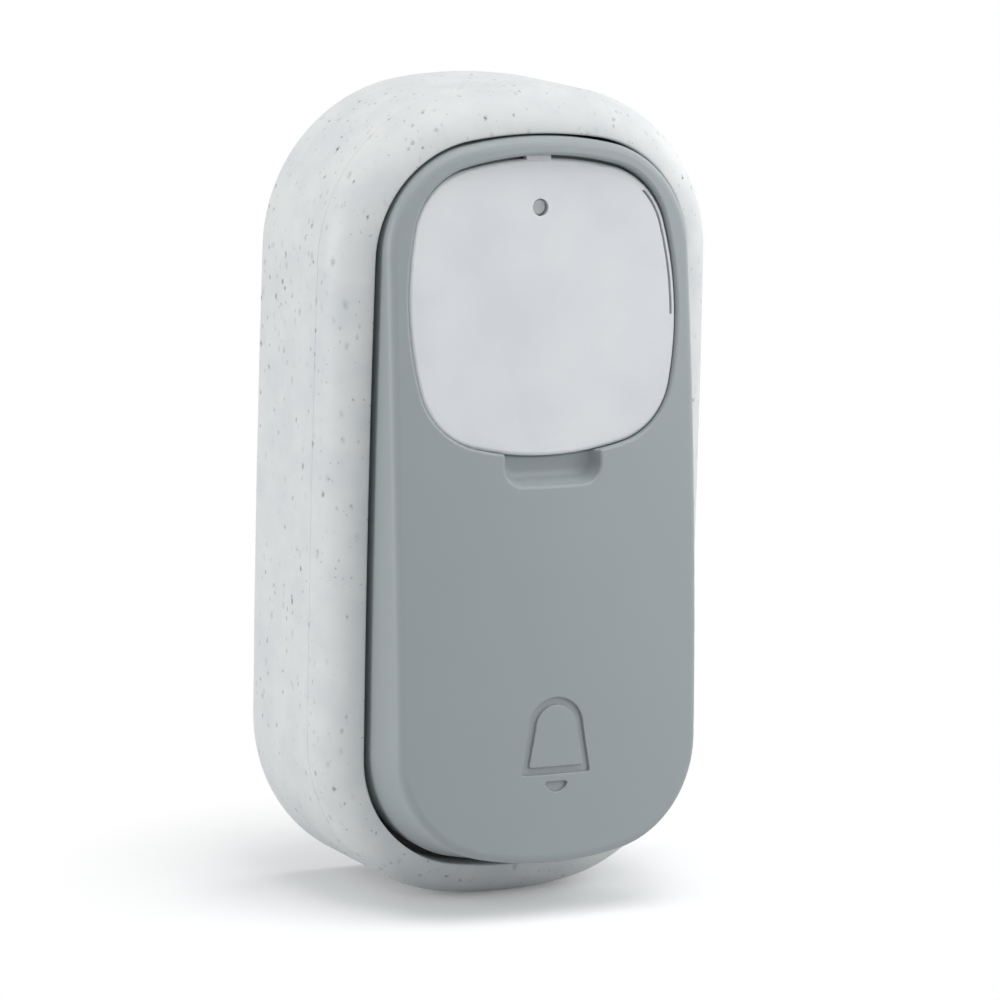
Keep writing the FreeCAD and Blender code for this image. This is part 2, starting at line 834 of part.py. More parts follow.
def chassis():
    """Inner plate that clips into the front shell and carries the board and the panel's pin."""
    solids = [case_slab(case_wall + chassis_side_gap, chassis_back, chassis_front)]
    cutters = [panel_hinge_pin()]
    lug_x = hinge_ear_x + hinge_ear_width + hinge_side_gap
    reach = hinge_ear_radius + hinge_end_gap
    for side in (-1, 1):
        lug = rod_across(hinge_depth, hinge_z, hinge_ear_radius, lug_x, lug_x + hinge_lug_width)
        ear_slot = box(hinge_ear_x - hinge_side_gap, lug_x, chassis_back - past, chassis_front + past,
                       hinge_z - reach, hinge_z + reach)
        hook_slot = box(stop_x - stop_thickness - stop_slot_gap, stop_x + stop_slot_gap / 2,
                        chassis_back - past, chassis_front + past,
                        stop_z - stop_width / 2 - stop_slot_gap, stop_z + stop_width / 2 + stop_slot_gap)
        solids.append(on_side(lug, side))
        cutters += [on_side(ear_slot, side), on_side(hook_slot, side)]
    for x, z in boss_places():
        solids.append(rod_out(x, z, boss_radius, floor_front + boss_floor_gap, chassis_front))
        cutters.append(rod_out(x, z, case_screw_radius, floor_front - past,
                               floor_back + case_screw_length + screw_tip_room))
    for x, z in board_screw_places():
        solids.append(rod_out(x, z, standoff_radius, board_front, chassis_front))
        cutters.append(rod_out(x, z, board_screw_radius, board_front - past,
                               board_back + board_screw_length + screw_tip_room))
    half = switch_side / 2 + chassis_switch_gap
    cutters.append(box(-half, half, chassis_back - past, chassis_front + past,
                       switch_z - half, switch_z + half))
    cutters.append(rod_out(0, light_z, light_pipe_radius + light_pipe_clearance,
                           chassis_back - past, chassis_front + past))
    return joined(solids).cut(cutters).removeSplitter()


def circuit_board():
    """Board with rounded corners, held by two screws."""
    board = box(-board_half_width, board_half_width, board_back, board_front, board_low_z, board_high_z)
    board = board.makeFillet(board_corner_radius, upright_edges(board))
    return board.cut([rod_out(x, z, board_screw_radius + board_hole_clearance,
                              board_back - past, board_front + past) for x, z in board_screw_places()])


def on_board(x, z, width, length, height):
    """Small block soldered on the front of the board."""
    return box(x - width / 2, x + width / 2, board_front, board_front + height,
               z - length / 2, z + length / 2)


def switch_body():
    body = on_board(0, switch_z, switch_side, switch_side, switch_height)
    return body.cut(rod_out(0, switch_z, plunger_radius + plunger_clearance,
                            board_front + switch_floor, switch_front + past))


def switch_plunger():
    """Moving button of the switch, held in the body's well."""
    return rod_out(0, switch_z, plunger_radius, plunger_back, plunger_front)


def radio_chip():
    chip = on_board(chip_x, chip_z, chip_side, chip_side, chip_height)
    return chip.makeChamfer(part_edge_radius, edges_at_depth(chip, board_front + chip_height))


def crystal():
    can = on_board(crystal_x, crystal_z, crystal_width, crystal_length, crystal_height)
    return can.makeFillet(part_edge_radius, edges_at_depth(can, board_front + crystal_height))


def status_led():
    return on_board(0, light_z, led_width, led_length, led_height)


def row_on_board(count, pitch, z, width, length, height):
    """Row of equal pieces across the board, as one group."""
    first = -pitch * (count - 1) / 2
    return Part.makeCompound([on_board(first + i * pitch, z, width, length, height)
                              for i in range(count)])


def resistors():
    return row_on_board(resistor_count, resistor_pitch, resistor_z,
                        resistor_width, resistor_length, resistor_height)


def capacitors():
    return row_on_board(capacitor_count, capacitor_pitch, capacitor_z,
                        capacitor_width, capacitor_length, capacitor_height)


def aerial():
    """Bar of bare wire that stands on the board on two bent feet."""
    foot = -board_front
    crest = aerial_wire_radius - aerial_front
    low = aerial_z - aerial_half_length
    high = aerial_z + aerial_half_length
    bend = aerial_bend_radius
    chord = bend * (1 - math.sqrt(0.5))
    x = aerial_x
    path = Part.Wire([
        Part.makeLine(V(x, foot, low), V(x, crest + bend, low)),
        Part.Arc(V(x, crest + bend, low), V(x, crest + chord, low + chord),
                 V(x, crest, low + bend)).toShape(),
        Part.makeLine(V(x, crest, low + bend), V(x, crest, high - bend)),
        Part.Arc(V(x, crest, high - bend), V(x, crest + chord, high - chord),
                 V(x, crest + bend, high)).toShape(),
        Part.makeLine(V(x, crest + bend, high), V(x, foot, high))])
    ring = Part.Wire([Part.makeCircle(aerial_wire_radius, V(x, foot, low), Y_AXIS)])
    return path.makePipeShell([ring], True, False)


def battery_holder():
    """Moulded ring on the board's back that keeps the cell in line."""
    inner = cell_radius + cell_side_gap
    outer = inner + holder_wall
    ring = rod_out(0, door_z, outer, cell_back + holder_back_gap, board_back)
    mouth = box(0, outer + past, cell_back, board_back + past,
                door_z - holder_mouth / 2, door_z + holder_mouth / 2)
    return ring.cut([rod_out(0, door_z, inner, cell_back, board_back + past), mouth])


def coin_cell():
    """Coin cell: a wide can towards the door and a slightly smaller lid towards the board."""
    shoulder = cell_front - cell_lid_height
    can = rod_out(0, door_z, cell_radius, cell_back, shoulder)
    can = can.makeFillet(cell_edge_radius, edges_at_depth(can, cell_back))
    return can.fuse(rod_out(0, door_z, cell_radius - cell_lid_step, shoulder, cell_front)).removeSplitter()


def battery_clip_positive():
    """Bent strip that touches the side of the cell's can through the holder's mouth."""
    x0 = cell_radius + clip_side_gap
    low = door_z - clip_width / 2
    high = door_z + clip_width / 2
    strip = box(x0, x0 + clip_thickness, cell_back + holder_back_gap, board_back, low, high)
    foot = box(x0, x0 + clip_foot_length, board_back - clip_thickness, board_back, low, high)
    return strip.fuse(foot).removeSplitter()


def battery_clip_negative():
    """Cranked spring strip between the board and the cell's lid."""
    bend = clip_half_length - clip_flat_length
    t = clip_thickness
    section = [(board_back, -clip_half_length), (board_back, -bend), (cell_front + t, bend),
               (cell_front + t, clip_half_length), (cell_front, clip_half_length),
               (cell_front, bend - t), (board_back - t, -bend - t), (board_back - t, -clip_half_length)]
    points = [V(-clip_width / 2, -depth, door_z + z) for depth, z in section]
    return Part.Face(Part.makePolygon(points + points[:1])).extrude(X_AXIS * clip_width)


def door_seal():
    """Rubber ring in the groove round the battery door."""
    ring_radius = door_radius + door_clearance - door_seal_gap - door_seal_radius
    return Part.makeTorus(ring_radius, door_seal_radius, V(0, -door_seal_depth, door_z), Y_AXIS)


def battery_door():
    """Round door with bayonet tabs, a groove for its seal and a slot for a coin."""
    disc = rod_out(0, door_z, door_radius, door_back, door_front)
    solids = [disc.makeFillet(door_edge_radius, edges_at_depth(disc, door_back))]
    solids += [door_tab(angle, 0, door_front - door_tab_thickness, door_front)
               for angle in door_tab_angles()]
    groove_back = door_seal_depth - door_seal_radius
    groove_front = door_seal_depth + door_seal_radius
    floor = door_radius + door_clearance - door_seal_gap - 2 * door_seal_radius
    groove = rod_out(0, door_z, door_radius + past, groove_back, groove_front)
    groove = groove.cut(rod_out(0, door_z, floor, groove_back, groove_front))
    slot = box(-door_slot_length / 2, door_slot_length / 2, door_back - past,
               door_back + door_slot_depth, door_z - door_slot_width / 2, door_z + door_slot_width / 2)
    return joined(solids).cut([groove, slot])


def screw(x, z, seat, radius, length, head_radius, head_height):
    """Cross-headed screw driven from the back, with its head on the wall side of its seat."""
    back = seat - head_height
    body = rod_out(x, z, head_radius, back, seat)
    body = body.makeFillet(part_edge_radius, edges_at_depth(body, back))
    body = body.fuse(rod_out(x, z, radius, seat, seat + length))
    arm = head_radius * cross_share
    half = cross_width / 2
    return body.cut([box(x - wide, x + wide, back - past, back + cross_depth, z - tall, z + tall)
                     for wide, tall in ((arm, half), (half, arm))])


def case_screws():
    """Four screws that pull the rear shell onto the chassis."""
    return Part.makeCompound([
        screw(x, z, floor_back, case_screw_radius, case_screw_length, case_screw_head_radius,
              case_screw_head_height) for x, z in boss_places()])


def board_screws():
    """Two screws that hold the board on the chassis."""
    return Part.makeCompound([
        screw(x, z, board_back, board_screw_radius, board_screw_length, board_screw_head_radius,
              board_screw_head_height) for x, z in board_screw_places()])


NODES = [wall_plate, rear_shell, front_shell, shell_seal, chassis, push_panel, panel_hinge_pin,
         name_window, name_card, light_pipe, press_pad, circuit_board, switch_body, switch_plunger,
         radio_chip, crystal, status_led, aerial, resistors, capacitors, battery_holder, coin_cell,
         battery_clip_positive, battery_clip_negative, battery_door, door_seal, case_screws,
         board_screws]


def main():
    os.makedirs("parts", exist_ok=True)
    for make in NODES:
        shape = make()
        shape.exportStep("parts/" + make.__name__ + ".step")
        print("%-22s solids %d valid %s volume %8.1f" % (
            make.__name__, len(shape.Solids), shape.isValid(), shape.Volume))
    window_top = place_on_window(Part.Vertex(0, 0, window_half_height)).Point
    print("case depth %.2f, hinge at depth %.2f height %.2f, window's top at depth %.2f height %.2f" % (
        case_depth, hinge_depth, hinge_z, -window_top.y, window_top.z))
    print("switch arm %.2f, panel throw at its foot %.2f" % (hinge_z - switch_z, panel_throw))


main()
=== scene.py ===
# %% [markdown]
# A wireless doorbell button, dressed in Blender.
#
# The CAD model gives every piece at its true size and place. This lesson gives each piece the finish of the
# real one, and models the small metal, rubber and electronic pieces again with the detail that a plain
# solid leaves out. Everything is in metres, with +Z up and the front of the button looking along -Y.

import json
import math

import bmesh
import bpy
from mathutils import Matrix, Vector


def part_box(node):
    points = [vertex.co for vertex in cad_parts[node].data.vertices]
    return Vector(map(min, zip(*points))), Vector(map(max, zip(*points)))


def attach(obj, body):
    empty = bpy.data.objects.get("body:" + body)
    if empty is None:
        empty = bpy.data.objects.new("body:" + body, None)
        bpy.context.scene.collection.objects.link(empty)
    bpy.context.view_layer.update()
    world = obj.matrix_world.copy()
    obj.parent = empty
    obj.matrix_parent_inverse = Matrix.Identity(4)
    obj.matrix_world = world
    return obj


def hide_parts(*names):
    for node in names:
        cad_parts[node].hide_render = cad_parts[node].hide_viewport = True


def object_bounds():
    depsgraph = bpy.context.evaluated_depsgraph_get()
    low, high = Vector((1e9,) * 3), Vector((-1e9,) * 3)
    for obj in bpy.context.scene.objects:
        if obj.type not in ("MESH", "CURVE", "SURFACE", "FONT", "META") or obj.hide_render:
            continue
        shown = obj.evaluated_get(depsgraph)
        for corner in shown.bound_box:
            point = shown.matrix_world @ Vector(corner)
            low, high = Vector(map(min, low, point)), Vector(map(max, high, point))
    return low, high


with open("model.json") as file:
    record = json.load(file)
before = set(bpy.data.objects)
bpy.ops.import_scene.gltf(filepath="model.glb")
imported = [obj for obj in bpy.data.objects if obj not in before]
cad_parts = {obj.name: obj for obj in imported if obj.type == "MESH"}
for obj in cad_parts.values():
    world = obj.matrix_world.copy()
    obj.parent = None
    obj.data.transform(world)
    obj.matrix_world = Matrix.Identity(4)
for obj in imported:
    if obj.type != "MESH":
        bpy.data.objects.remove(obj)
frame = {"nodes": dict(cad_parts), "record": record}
cad_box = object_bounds()
nodes = frame["nodes"]
MM = 0.001

# %% [markdown]
# Colours are written as sRGB hex values, as a paint chart gives them. The renderer works with linear light,
# so one function turns each value into its linear colour. One more function adds a shader node with its
# settings and its inputs. An input is a plain value, another node, or one output of another node. Inputs go
# by name, or by number where names repeat: a Map Range node takes its value as 0, the old range as 1 and 2,
# and the new range as 3 and 4.

# %% Colour and node helpers
def linear(code, share=1.0):
    """Linear colour of an sRGB hex value such as #8C9092, or a share of it."""
    channels = [int(code[i:i + 2], 16) / 255 for i in (1, 3, 5)]
    light = [c / 12.92 if c <= 0.04045 else ((c + 0.055) / 1.055) ** 2.4 for c in channels]
    return tuple(c * share for c in light) + (1.0,)


def add(tree, kind, inputs=None, **settings):
    """Adds one node. An input is set to a value, or linked to an output, or to a node's first output."""
    node = tree.nodes.new("ShaderNode" + kind)
    for name, value in settings.items():
        setattr(node, name, value)
    for name, value in (inputs or {}).items():
        if isinstance(value, bpy.types.Node):
            value = value.outputs[0]
        if isinstance(value, bpy.types.NodeSocket):
            tree.links.new(value, node.inputs[name])
        else:
            node.inputs[name].default_value = value
    return node


def new_material(name):
    """Empty material, with its node tree and the position that its patterns are laid out on."""
    material = bpy.data.materials.new(name)
    material.use_nodes = True
    material.node_tree.nodes.clear()
    place = add(material.node_tree, "TexCoord").outputs["Object"]
    return material, material.node_tree, place


print("white is", linear("#FFFFFF"), "mid grey is", linear("#808080")[0])

# %% [markdown]
# The case is moulded in off-white ABS with ground dark mineral mixed in. The grains lie all through the
# plastic, so where the mould's skin cuts them they show as specks of many sizes. A Voronoi pattern in space
# does the same: each cell holds one ball, only some cells keep theirs, and the surface cuts through them.
# The grains are a little taller than wide, because the melt flowed up the case and drew them out. Those that
# lie just under the skin show only as faint grey smudges.

# %% Speckled ABS
# The radius of the smallest grain as a share of the largest, and how strongly the faintest grain shows.
SMALLEST_GRAIN = 0.35
FAINTEST_GRAIN = 0.35


def specks(tree, place, spacing, radius, share, stretch=1.0, softness=0.35):
    """Mask of mineral grains: about one in each cell of this spacing, kept in a share of the cells."""
    scaled = add(tree, "Mapping", {"Vector": place, "Scale": (1, 1, stretch)})
    cells = add(tree, "TexVoronoi", {"Vector": scaled, "Scale": 1 / spacing}, feature="F1")
    split = add(tree, "SeparateColor", {"Color": cells.outputs["Color"]})
    largest = radius / spacing
    size = add(tree, "MapRange", {0: split.outputs[1], 3: SMALLEST_GRAIN * largest, 4: largest})
    edge = add(tree, "Math", {0: size, 1: cells.outputs["Distance"]}, operation="SUBTRACT")
    within = add(tree, "MapRange", {0: edge, 1: 0.0, 2: softness * largest})
    kept = add(tree, "Math", {0: split, 1: share}, operation="LESS_THAN")
    faint = add(tree, "MapRange", {0: split.outputs[2], 3: FAINTEST_GRAIN, 4: 1.0})
    shown = add(tree, "Math", {0: kept, 1: faint}, operation="MULTIPLY")
    return add(tree, "Math", {0: within, 1: shown}, operation="MULTIPLY")


def speckled_abs():
    """Off-white ABS with a soft mottle, four kinds of grain from deep to coarse, and a fine skin."""
    material, tree, place = new_material("speckled_abs")
    wobble = add(tree, "TexNoise", {"Vector": place, "Scale": 1 / (0.28 * MM), "Detail": 2.0})
    shift = add(tree, "VectorMath", {0: wobble.outputs["Color"], 1: (0.5 * MM,) * 3}, operation="MULTIPLY")
    torn = add(tree, "VectorMath", {0: place, 1: shift})
    deep = specks(tree, torn, 1.3 * MM, 0.42 * MM, 0.7, stretch=0.6, softness=1.0)
    fine = specks(tree, torn, 0.75 * MM, 0.15 * MM, 0.45, softness=0.6)
    middle = specks(tree, torn, 1.1 * MM, 0.28 * MM, 0.75, stretch=0.65, softness=0.7)
    coarse = specks(tree, torn, 2.0 * MM, 0.32 * MM, 0.4, stretch=0.6, softness=0.5)
    cloud = add(tree, "TexNoise", {"Vector": place, "Scale": 1 / (4 * MM), "Detail": 3.0})
    patches = add(tree, "MapRange", {0: cloud.outputs["Fac"], 1: 0.35, 2: 0.65})
    base = add(tree, "MixRGB", {0: patches, 1: linear("#D8DBDC"), 2: linear("#E1E3E1")})
    for mask, colour in ((deep, "#AEB4B6"), (fine, "#94989A"), (middle, "#686C6E"), (coarse, "#565A5C")):
        base = add(tree, "MixRGB", {0: mask, 1: base, 2: linear(colour)})
    grain = add(tree, "TexNoise", {"Vector": place, "Scale": 1 / (0.12 * MM), "Detail": 1.0})
    bump = add(tree, "Bump", {"Height": grain.outputs["Fac"], "Strength": 0.12, "Distance": 0.02 * MM})
    shader = add(tree, "BsdfPrincipled", {"Base Color": base, "Roughness": 0.5, "IOR": 1.53,
                                          "Normal": bump})
    add(tree, "OutputMaterial", {"Surface": shader})
    return material


finishes = {"speckled_case": speckled_abs()}
print("nodes in the speckled ABS:", len(finishes["speckled_case"].node_tree.nodes))

# %% [markdown]
# The other plastics, the rubber, the label and the moulded epoxy of the chips all copy the skin of a mould
# or a press, so one function makes them: a colour with a faint cloud in it, a roughness, and a fine grain.
# The grain of a spark-eroded mould is about a tenth of a millimetre, which is near the size of a pixel here.

# %% Moulded materials
def moulded(name, code, roughness, grain_size):
    """Moulded material whose skin copies the fine grain of its mould."""
    material, tree, place = new_material(name)
    cloud = add(tree, "TexNoise", {"Vector": place, "Scale": 1 / (9 * MM), "Detail": 2.0})
    colour = add(tree, "MixRGB", {0: cloud.outputs["Fac"], 1: linear(code), 2: linear(code, 0.965)})
    grain = add(tree, "TexNoise", {"Vector": place, "Scale": 1 / grain_size, "Detail": 1.0})
    bump = add(tree, "Bump", {"Height": grain.outputs["Fac"], "Strength": 0.15, "Distance": 0.02 * MM})
    shader = add(tree, "BsdfPrincipled", {"Base Color": colour, "Roughness": roughness,
                                          "IOR": 1.53, "Normal": bump})
    add(tree, "OutputMaterial", {"Surface": shader})
    return material


finishes |= {
    "panel_grey": moulded("grey_abs", "#9FA6A8", 0.5, 0.14 * MM),
    "plate_grey": moulded("light_grey_abs", "#C9CCCC", 0.55, 0.2 * MM),
    "chassis_black": moulded("black_abs", "#2A2B2D", 0.5, 0.2 * MM),
    "card_white": moulded("card_stock", "#F2F2F0", 0.8, 0.3 * MM),
    "chip_black": moulded("moulded_epoxy", "#26272A", 0.6, 0.1 * MM),
    "ceramic_tan": moulded("fired_ceramic", "#9A7B58", 0.6, 0.2 * MM),
    "rubber_black": moulded("moulded_rubber", "#1B1B1C", 0.75, 0.2 * MM),
}
print("finishes so far:", ", ".join(finishes))

# %% [markdown]
# The window is polycarbonate with a frosted skin. Light enters it and comes back softly, so it looks paler
# and calmer than the grey panel, and its edges seem to glow a little. A part of the light is let through
# and blurred by the rough skin, and the rest is scattered near the surface. The frosting is never even, so a
# broad, soft cloud makes it a little paler in some places. The light pipe and the lens of the light are
# clear mouldings, which bend the light that they let through.

# %% Frosted and clear plastics
def frosted_polycarbonate():
    """Polycarbonate with a frosted skin, softly lit from within."""
    material, tree, place = new_material("frosted_polycarbonate")
    grain = add(tree, "TexNoise", {"Vector": place, "Scale": 1 / (0.08 * MM), "Detail": 1.0})
    bump = add(tree, "Bump", {"Height": grain.outputs["Fac"], "Strength": 0.1, "Distance": 0.01 * MM})
    cloud = add(tree, "TexNoise", {"Vector": place, "Scale": 1 / (9 * MM), "Detail": 3.0})
    haze = add(tree, "MapRange", {0: cloud.outputs["Fac"], 1: 0.35, 2: 0.65})
    frost = add(tree, "MixRGB", {0: haze, 1: linear("#E8EBEE"), 2: linear("#F0F2F4")})
    shader = add(tree, "BsdfPrincipled", {"Base Color": frost, "Roughness": 0.45, "IOR": 1.58,
                                          "Subsurface Weight": 0.4, "Subsurface Radius": (1.0, 1.0, 1.0),
                                          "Subsurface Scale": 0.6 * MM, "Transmission Weight": 0.12,
                                          "Normal": bump})
    add(tree, "OutputMaterial", {"Surface": shader})
    return material


def clear_plastic(name, code, roughness, clearness):
    """Clear moulding: light passes, and faint flow marks bend it."""
    material, tree, place = new_material(name)
    flow = add(tree, "TexNoise", {"Vector": place, "Scale": 1 / (1.5 * MM), "Detail": 1.0})
    bump = add(tree, "Bump", {"Height": flow.outputs["Fac"], "Strength": 0.08, "Distance": 0.02 * MM})
    shader = add(tree, "BsdfPrincipled", {"Base Color": linear(code), "Roughness": roughness, "IOR": 1.49,
                                          "Transmission Weight": clearness, "Normal": bump})
    add(tree, "OutputMaterial", {"Surface": shader})
    return material


finishes |= {
    "frosted_window": frosted_polycarbonate(),
    "clear_acrylic": clear_plastic("clear_acrylic", "#D4D8DA", 0.35, 0.3),
    "led_lens": clear_plastic("led_epoxy", "#E7EADF", 0.2, 0.8),
}
print("finishes so far:", len(finishes))

# %% [markdown]
# Metals reflect, so what makes steel look like steel is how it was worked. Stamped and drawn sheet has fine
# streaks along one direction, and turned work has rings. Noise that is stretched many times along one axis
# gives streaks. The streaks change the roughness and the height a little, and the colour hardly at all.

# %% Metals
def streaked_metal(name, code, roughness, streak, stretch):
    """Bare metal with fine working marks: noise of the streak's width, drawn out by stretch."""
    material, tree, place = new_material(name)
    drawn = add(tree, "Mapping", {"Vector": place, "Scale": stretch})
    marks = add(tree, "TexNoise", {"Vector": drawn, "Scale": 1 / streak, "Detail": 3.0})
    tone = add(tree, "TexNoise", {"Vector": place, "Scale": 1 / (2.5 * MM), "Detail": 2.0})
    colour = add(tree, "MixRGB", {0: tone.outputs["Fac"], 1: linear(code), 2: linear(code, 0.88)})
    rough = add(tree, "MapRange", {0: marks.outputs["Fac"], 3: roughness * 0.75, 4: roughness * 1.3})
    bump = add(tree, "Bump", {"Height": marks.outputs["Fac"], "Strength": 0.1, "Distance": 0.01 * MM})
    shader = add(tree, "BsdfPrincipled", {"Base Color": colour, "Metallic": 1.0,
                                          "Roughness": rough, "Normal": bump})
    add(tree, "OutputMaterial", {"Surface": shader})
    return material


finishes |= {
    "steel": streaked_metal("bright_steel", "#C9CACC", 0.3, 0.05 * MM, (0.1, 1.0, 1.0)),
    "gold_plate": streaked_metal("gold_plated_bronze", "#D9B56B", 0.28, 0.04 * MM, (1.0, 1.0, 0.1)),
}
print("finishes so far:", len(finishes))

# %% [markdown]
# The board is glass fibre under green solder mask. Copper tracks lie under the mask and show as paler,
# raised lines. A brick pattern of long, low bricks draws bundles of tracks that run side by side and turn
# off here and there. One set runs up and one across, each in its own regions, as on a real layout. The weave
# of the glass shows as a faint check.

# %% Circuit board
def solder_mask():
    """Green solder mask over glass fibre, with two sets of tracks under it."""
    material, tree, place = new_material("solder_mask_on_glass_fibre")
    flat = add(tree, "Mapping", {"Vector": place, "Rotation": (math.radians(90), 0, 0)})
    turned_flat = add(tree, "Mapping", {"Vector": flat, "Rotation": (0, 0, math.radians(90))})
    patch = add(tree, "TexNoise", {"Vector": place, "Scale": 1 / (6 * MM), "Detail": 1.0}).outputs["Fac"]
    tracks = 0.0
    for coordinates, length, spacing, none, full in ((flat, 11.0, 0.85, 0.47, 0.44),
                                                     (turned_flat, 9.0, 1.05, 0.51, 0.54)):
        brick = add(tree, "TexBrick", {"Vector": coordinates, "Scale": 1.0, "Mortar Size": 0.1 * MM,
                                       "Mortar Smooth": 0.2, "Brick Width": length * MM,
                                       "Row Height": spacing * MM},
                    offset=0.37, squash=0.6, squash_frequency=3)
        region = add(tree, "MapRange", {0: patch, 1: none, 2: full})
        lines = add(tree, "Math", {0: brick.outputs["Fac"], 1: region}, operation="MULTIPLY")
        tracks = add(tree, "Math", {0: lines, 1: tracks}, operation="MAXIMUM")
    weave = add(tree, "TexChecker", {"Vector": flat, "Scale": 1 / (0.6 * MM), "Color1": linear("#17512F"),
                                     "Color2": linear("#195634")})
    colour = add(tree, "MixRGB", {0: tracks, 1: weave.outputs["Color"], 2: linear("#3F8A55")})
    bump = add(tree, "Bump", {"Height": tracks, "Strength": 0.5, "Distance": 0.04 * MM})
    shader = add(tree, "BsdfPrincipled", {"Base Color": colour, "Roughness": 0.28, "IOR": 1.55,
                                          "Normal": bump})
    add(tree, "OutputMaterial", {"Surface": shader})
    return material


finishes["board_green"] = solder_mask()
print("nodes in the solder mask:", len(finishes["board_green"].node_tree.nodes))

# %% [markdown]
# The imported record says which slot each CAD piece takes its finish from, and which body carries it. So the
# finishes go onto the CAD pieces by that list, and the new pieces will look up their own there too.

# %% Finish for each slot
slot_of = {part["node"]: part["material_slot"] for part in frame["record"]["subparts"]}
body_of = {node: body for body, held in frame["record"]["behaviour"]["bodies"].items() for node in held}
for node, slot in slot_of.items():
    nodes[node].material_slots[0].material = finishes[slot]
print("CAD pieces with a finish:", len(slot_of), "finishes:", len(finishes))

# %% [markdown]
# The new pieces are modelled on a bench: lying on their backs, in millimetres, with X across the button, Y
# up its height and Z out of the wall. One turn and one scale then stand them up in the frame. A piece takes
# its size from the CAD node that it stands for, so it fits where that node was.

# %% Bench helpers
STAND_UP = Matrix.Rotation(math.radians(90), 4, "X") @ Matrix.Scale(MM, 4)
X = Vector((1, 0, 0))
Y = Vector((0, 1, 0))
Z = Vector((0, 0, 1))
WELD = 0.0004


def room(node):
    """Low and high corner of a CAD node on the bench, in millimetres."""
    near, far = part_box(node)
    return Vector((near.x, near.z, -far.y)) / MM, Vector((far.x, far.z, -near.y)) / MM


def added(items, before):
    """The items that weren't there before."""
    return [item for item in items if item not in before]


def verts_of(items):
    """The vertices among the items that an operator returns."""
    return [item for item in items if isinstance(item, bmesh.types.BMVert)]


def finished(name, bm, node, slot=None, finish=None, sharp=35, beside=False):
    """Merges and smooths a bench mesh, stands it up, and puts it in place of a CAD node, or beside it."""
    bmesh.ops.remove_doubles(bm, verts=bm.verts, dist=WELD)
    bmesh.ops.recalc_face_normals(bm, faces=bm.faces)
    open_edges = sum(not edge.is_manifold for edge in bm.edges)
    near, far = room(node)
    proud = max(max(near[i] - vert.co[i], vert.co[i] - far[i]) for vert in bm.verts for i in range(3))
    bmesh.ops.transform(bm, matrix=STAND_UP, verts=bm.verts)
    mesh = bpy.data.meshes.new(name)
    bm.to_mesh(mesh)
    bm.free()
    mesh.shade_smooth()
    mesh.set_sharp_from_angle(angle=math.radians(sharp))
    mesh.materials.append(finish or finishes[slot or slot_of[node]])
    piece = bpy.data.objects.new(name, mesh)
    bpy.context.scene.collection.objects.link(piece)
    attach(piece, body_of[node])
    if not beside:
        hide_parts(node)
    print("%-18s faces %5d, open edges %d, past its node by %.3f mm" % (
        name, len(mesh.polygons), open_edges, proud))
    return piece


low, high = room("front_shell")
print("the front shell takes %.1f by %.1f by %.1f mm on the bench" % tuple(high - low))

# %% [markdown]
# The front of the case is one moulding: a straight skirt, a large roll, and a rim that turns in round the
# opening. Every section of it is a ring of eight tangent arcs. A ring is made by spinning a single vertex
# round three centres, which draws a quarter, and by mirroring that quarter twice.

# %% Rings of tangent arcs
# An outline is its half width and half height, and the radii of its side, end and corner arcs.
CASE = (22.2, 42.7, 2000.0, 48.0, 17.7)
OPENING = (18.1, 38.425, 2000.0, 49.2, 12.4)
OPENING_MIDDLE = -0.375
ARC_STEPS = (14, 22, 14)
MIRROR_WELD = 0.01


def arc_centres(outline):
    """Centres of the side, corner and end arc of an outline, as complex numbers in its first quarter."""
    half_width, half_height, side_radius, end_radius, corner_radius = outline
    side = complex(half_width - side_radius, 0)
    end = complex(0, half_height - end_radius)
    span = end - side
    reach_side = side_radius - corner_radius
    reach_end = end_radius - corner_radius
    along = (reach_side ** 2 - reach_end ** 2 + abs(span) ** 2) / (2 * abs(span))
    aside = math.sqrt(reach_side ** 2 - along ** 2)
    return side, side + span / abs(span) * complex(along, aside), end


def bearing(start, end):
    """Direction from one complex point to another, as an angle."""
    return math.atan2((end - start).imag, (end - start).real)


def soft_ring(bm, outline, inset, middle=0.0):
    """Adds a closed ring, moved inwards from the outline, and returns its vertices and edges."""
    before = set(bm.verts) | set(bm.edges)
    side, corner, end = arc_centres(outline)
    to_side = bearing(side, corner)
    to_end = bearing(end, corner)
    tip = [bm.verts.new((outline[0] - inset, 0, 0))]
    turns = ((side, to_side), (corner, to_end - to_side), (end, math.pi / 2 - to_end))
    for (pivot, angle), steps in zip(turns, ARC_STEPS):
        spun = bmesh.ops.spin(bm, geom=tip, cent=(pivot.real, pivot.imag, 0), axis=Z, angle=angle,
                              steps=steps)
        tip = verts_of(spun["geom_last"])
    for axis in ("X", "Y"):
        drawn = added(bm.verts, before) + added(bm.edges, before)
        bmesh.ops.mirror(bm, geom=drawn, matrix=Matrix(), merge_dist=MIRROR_WELD, axis=axis)
    verts = added(bm.verts, before)
    bmesh.ops.translate(bm, verts=verts, vec=Y * middle)
    return verts, added(bm.edges, before)


def inside(outline, point, middle=0.0):
    """How far a point lies inside an outline."""
    place = complex(abs(point.x), abs(point.y - middle))
    side, corner, end = arc_centres(outline)
    side_radius, end_radius, corner_radius = outline[2:]
    if bearing(corner, place) < bearing(side, corner):
        return side_radius - abs(place - side)
    if bearing(corner, place) > bearing(end, corner):
        return end_radius - abs(place - end)
    return corner_radius - abs(place - corner)


print("a ring has %d vertices" % (4 * sum(ARC_STEPS)))

# %% [markdown]
# All rings have as many vertices, so they are bridged one to the next: from the seam over the roll, round
# the small edge of the rim, back through the opening, and down the inner wall to the skirt's end. They are
# bridged while they lie stacked one above the other, since a bridge between two rings at one level can come
# out twisted, and moved to their own levels after that. The rim lies on the roll, so the rings round it take
# their height from the roll under each of their points.

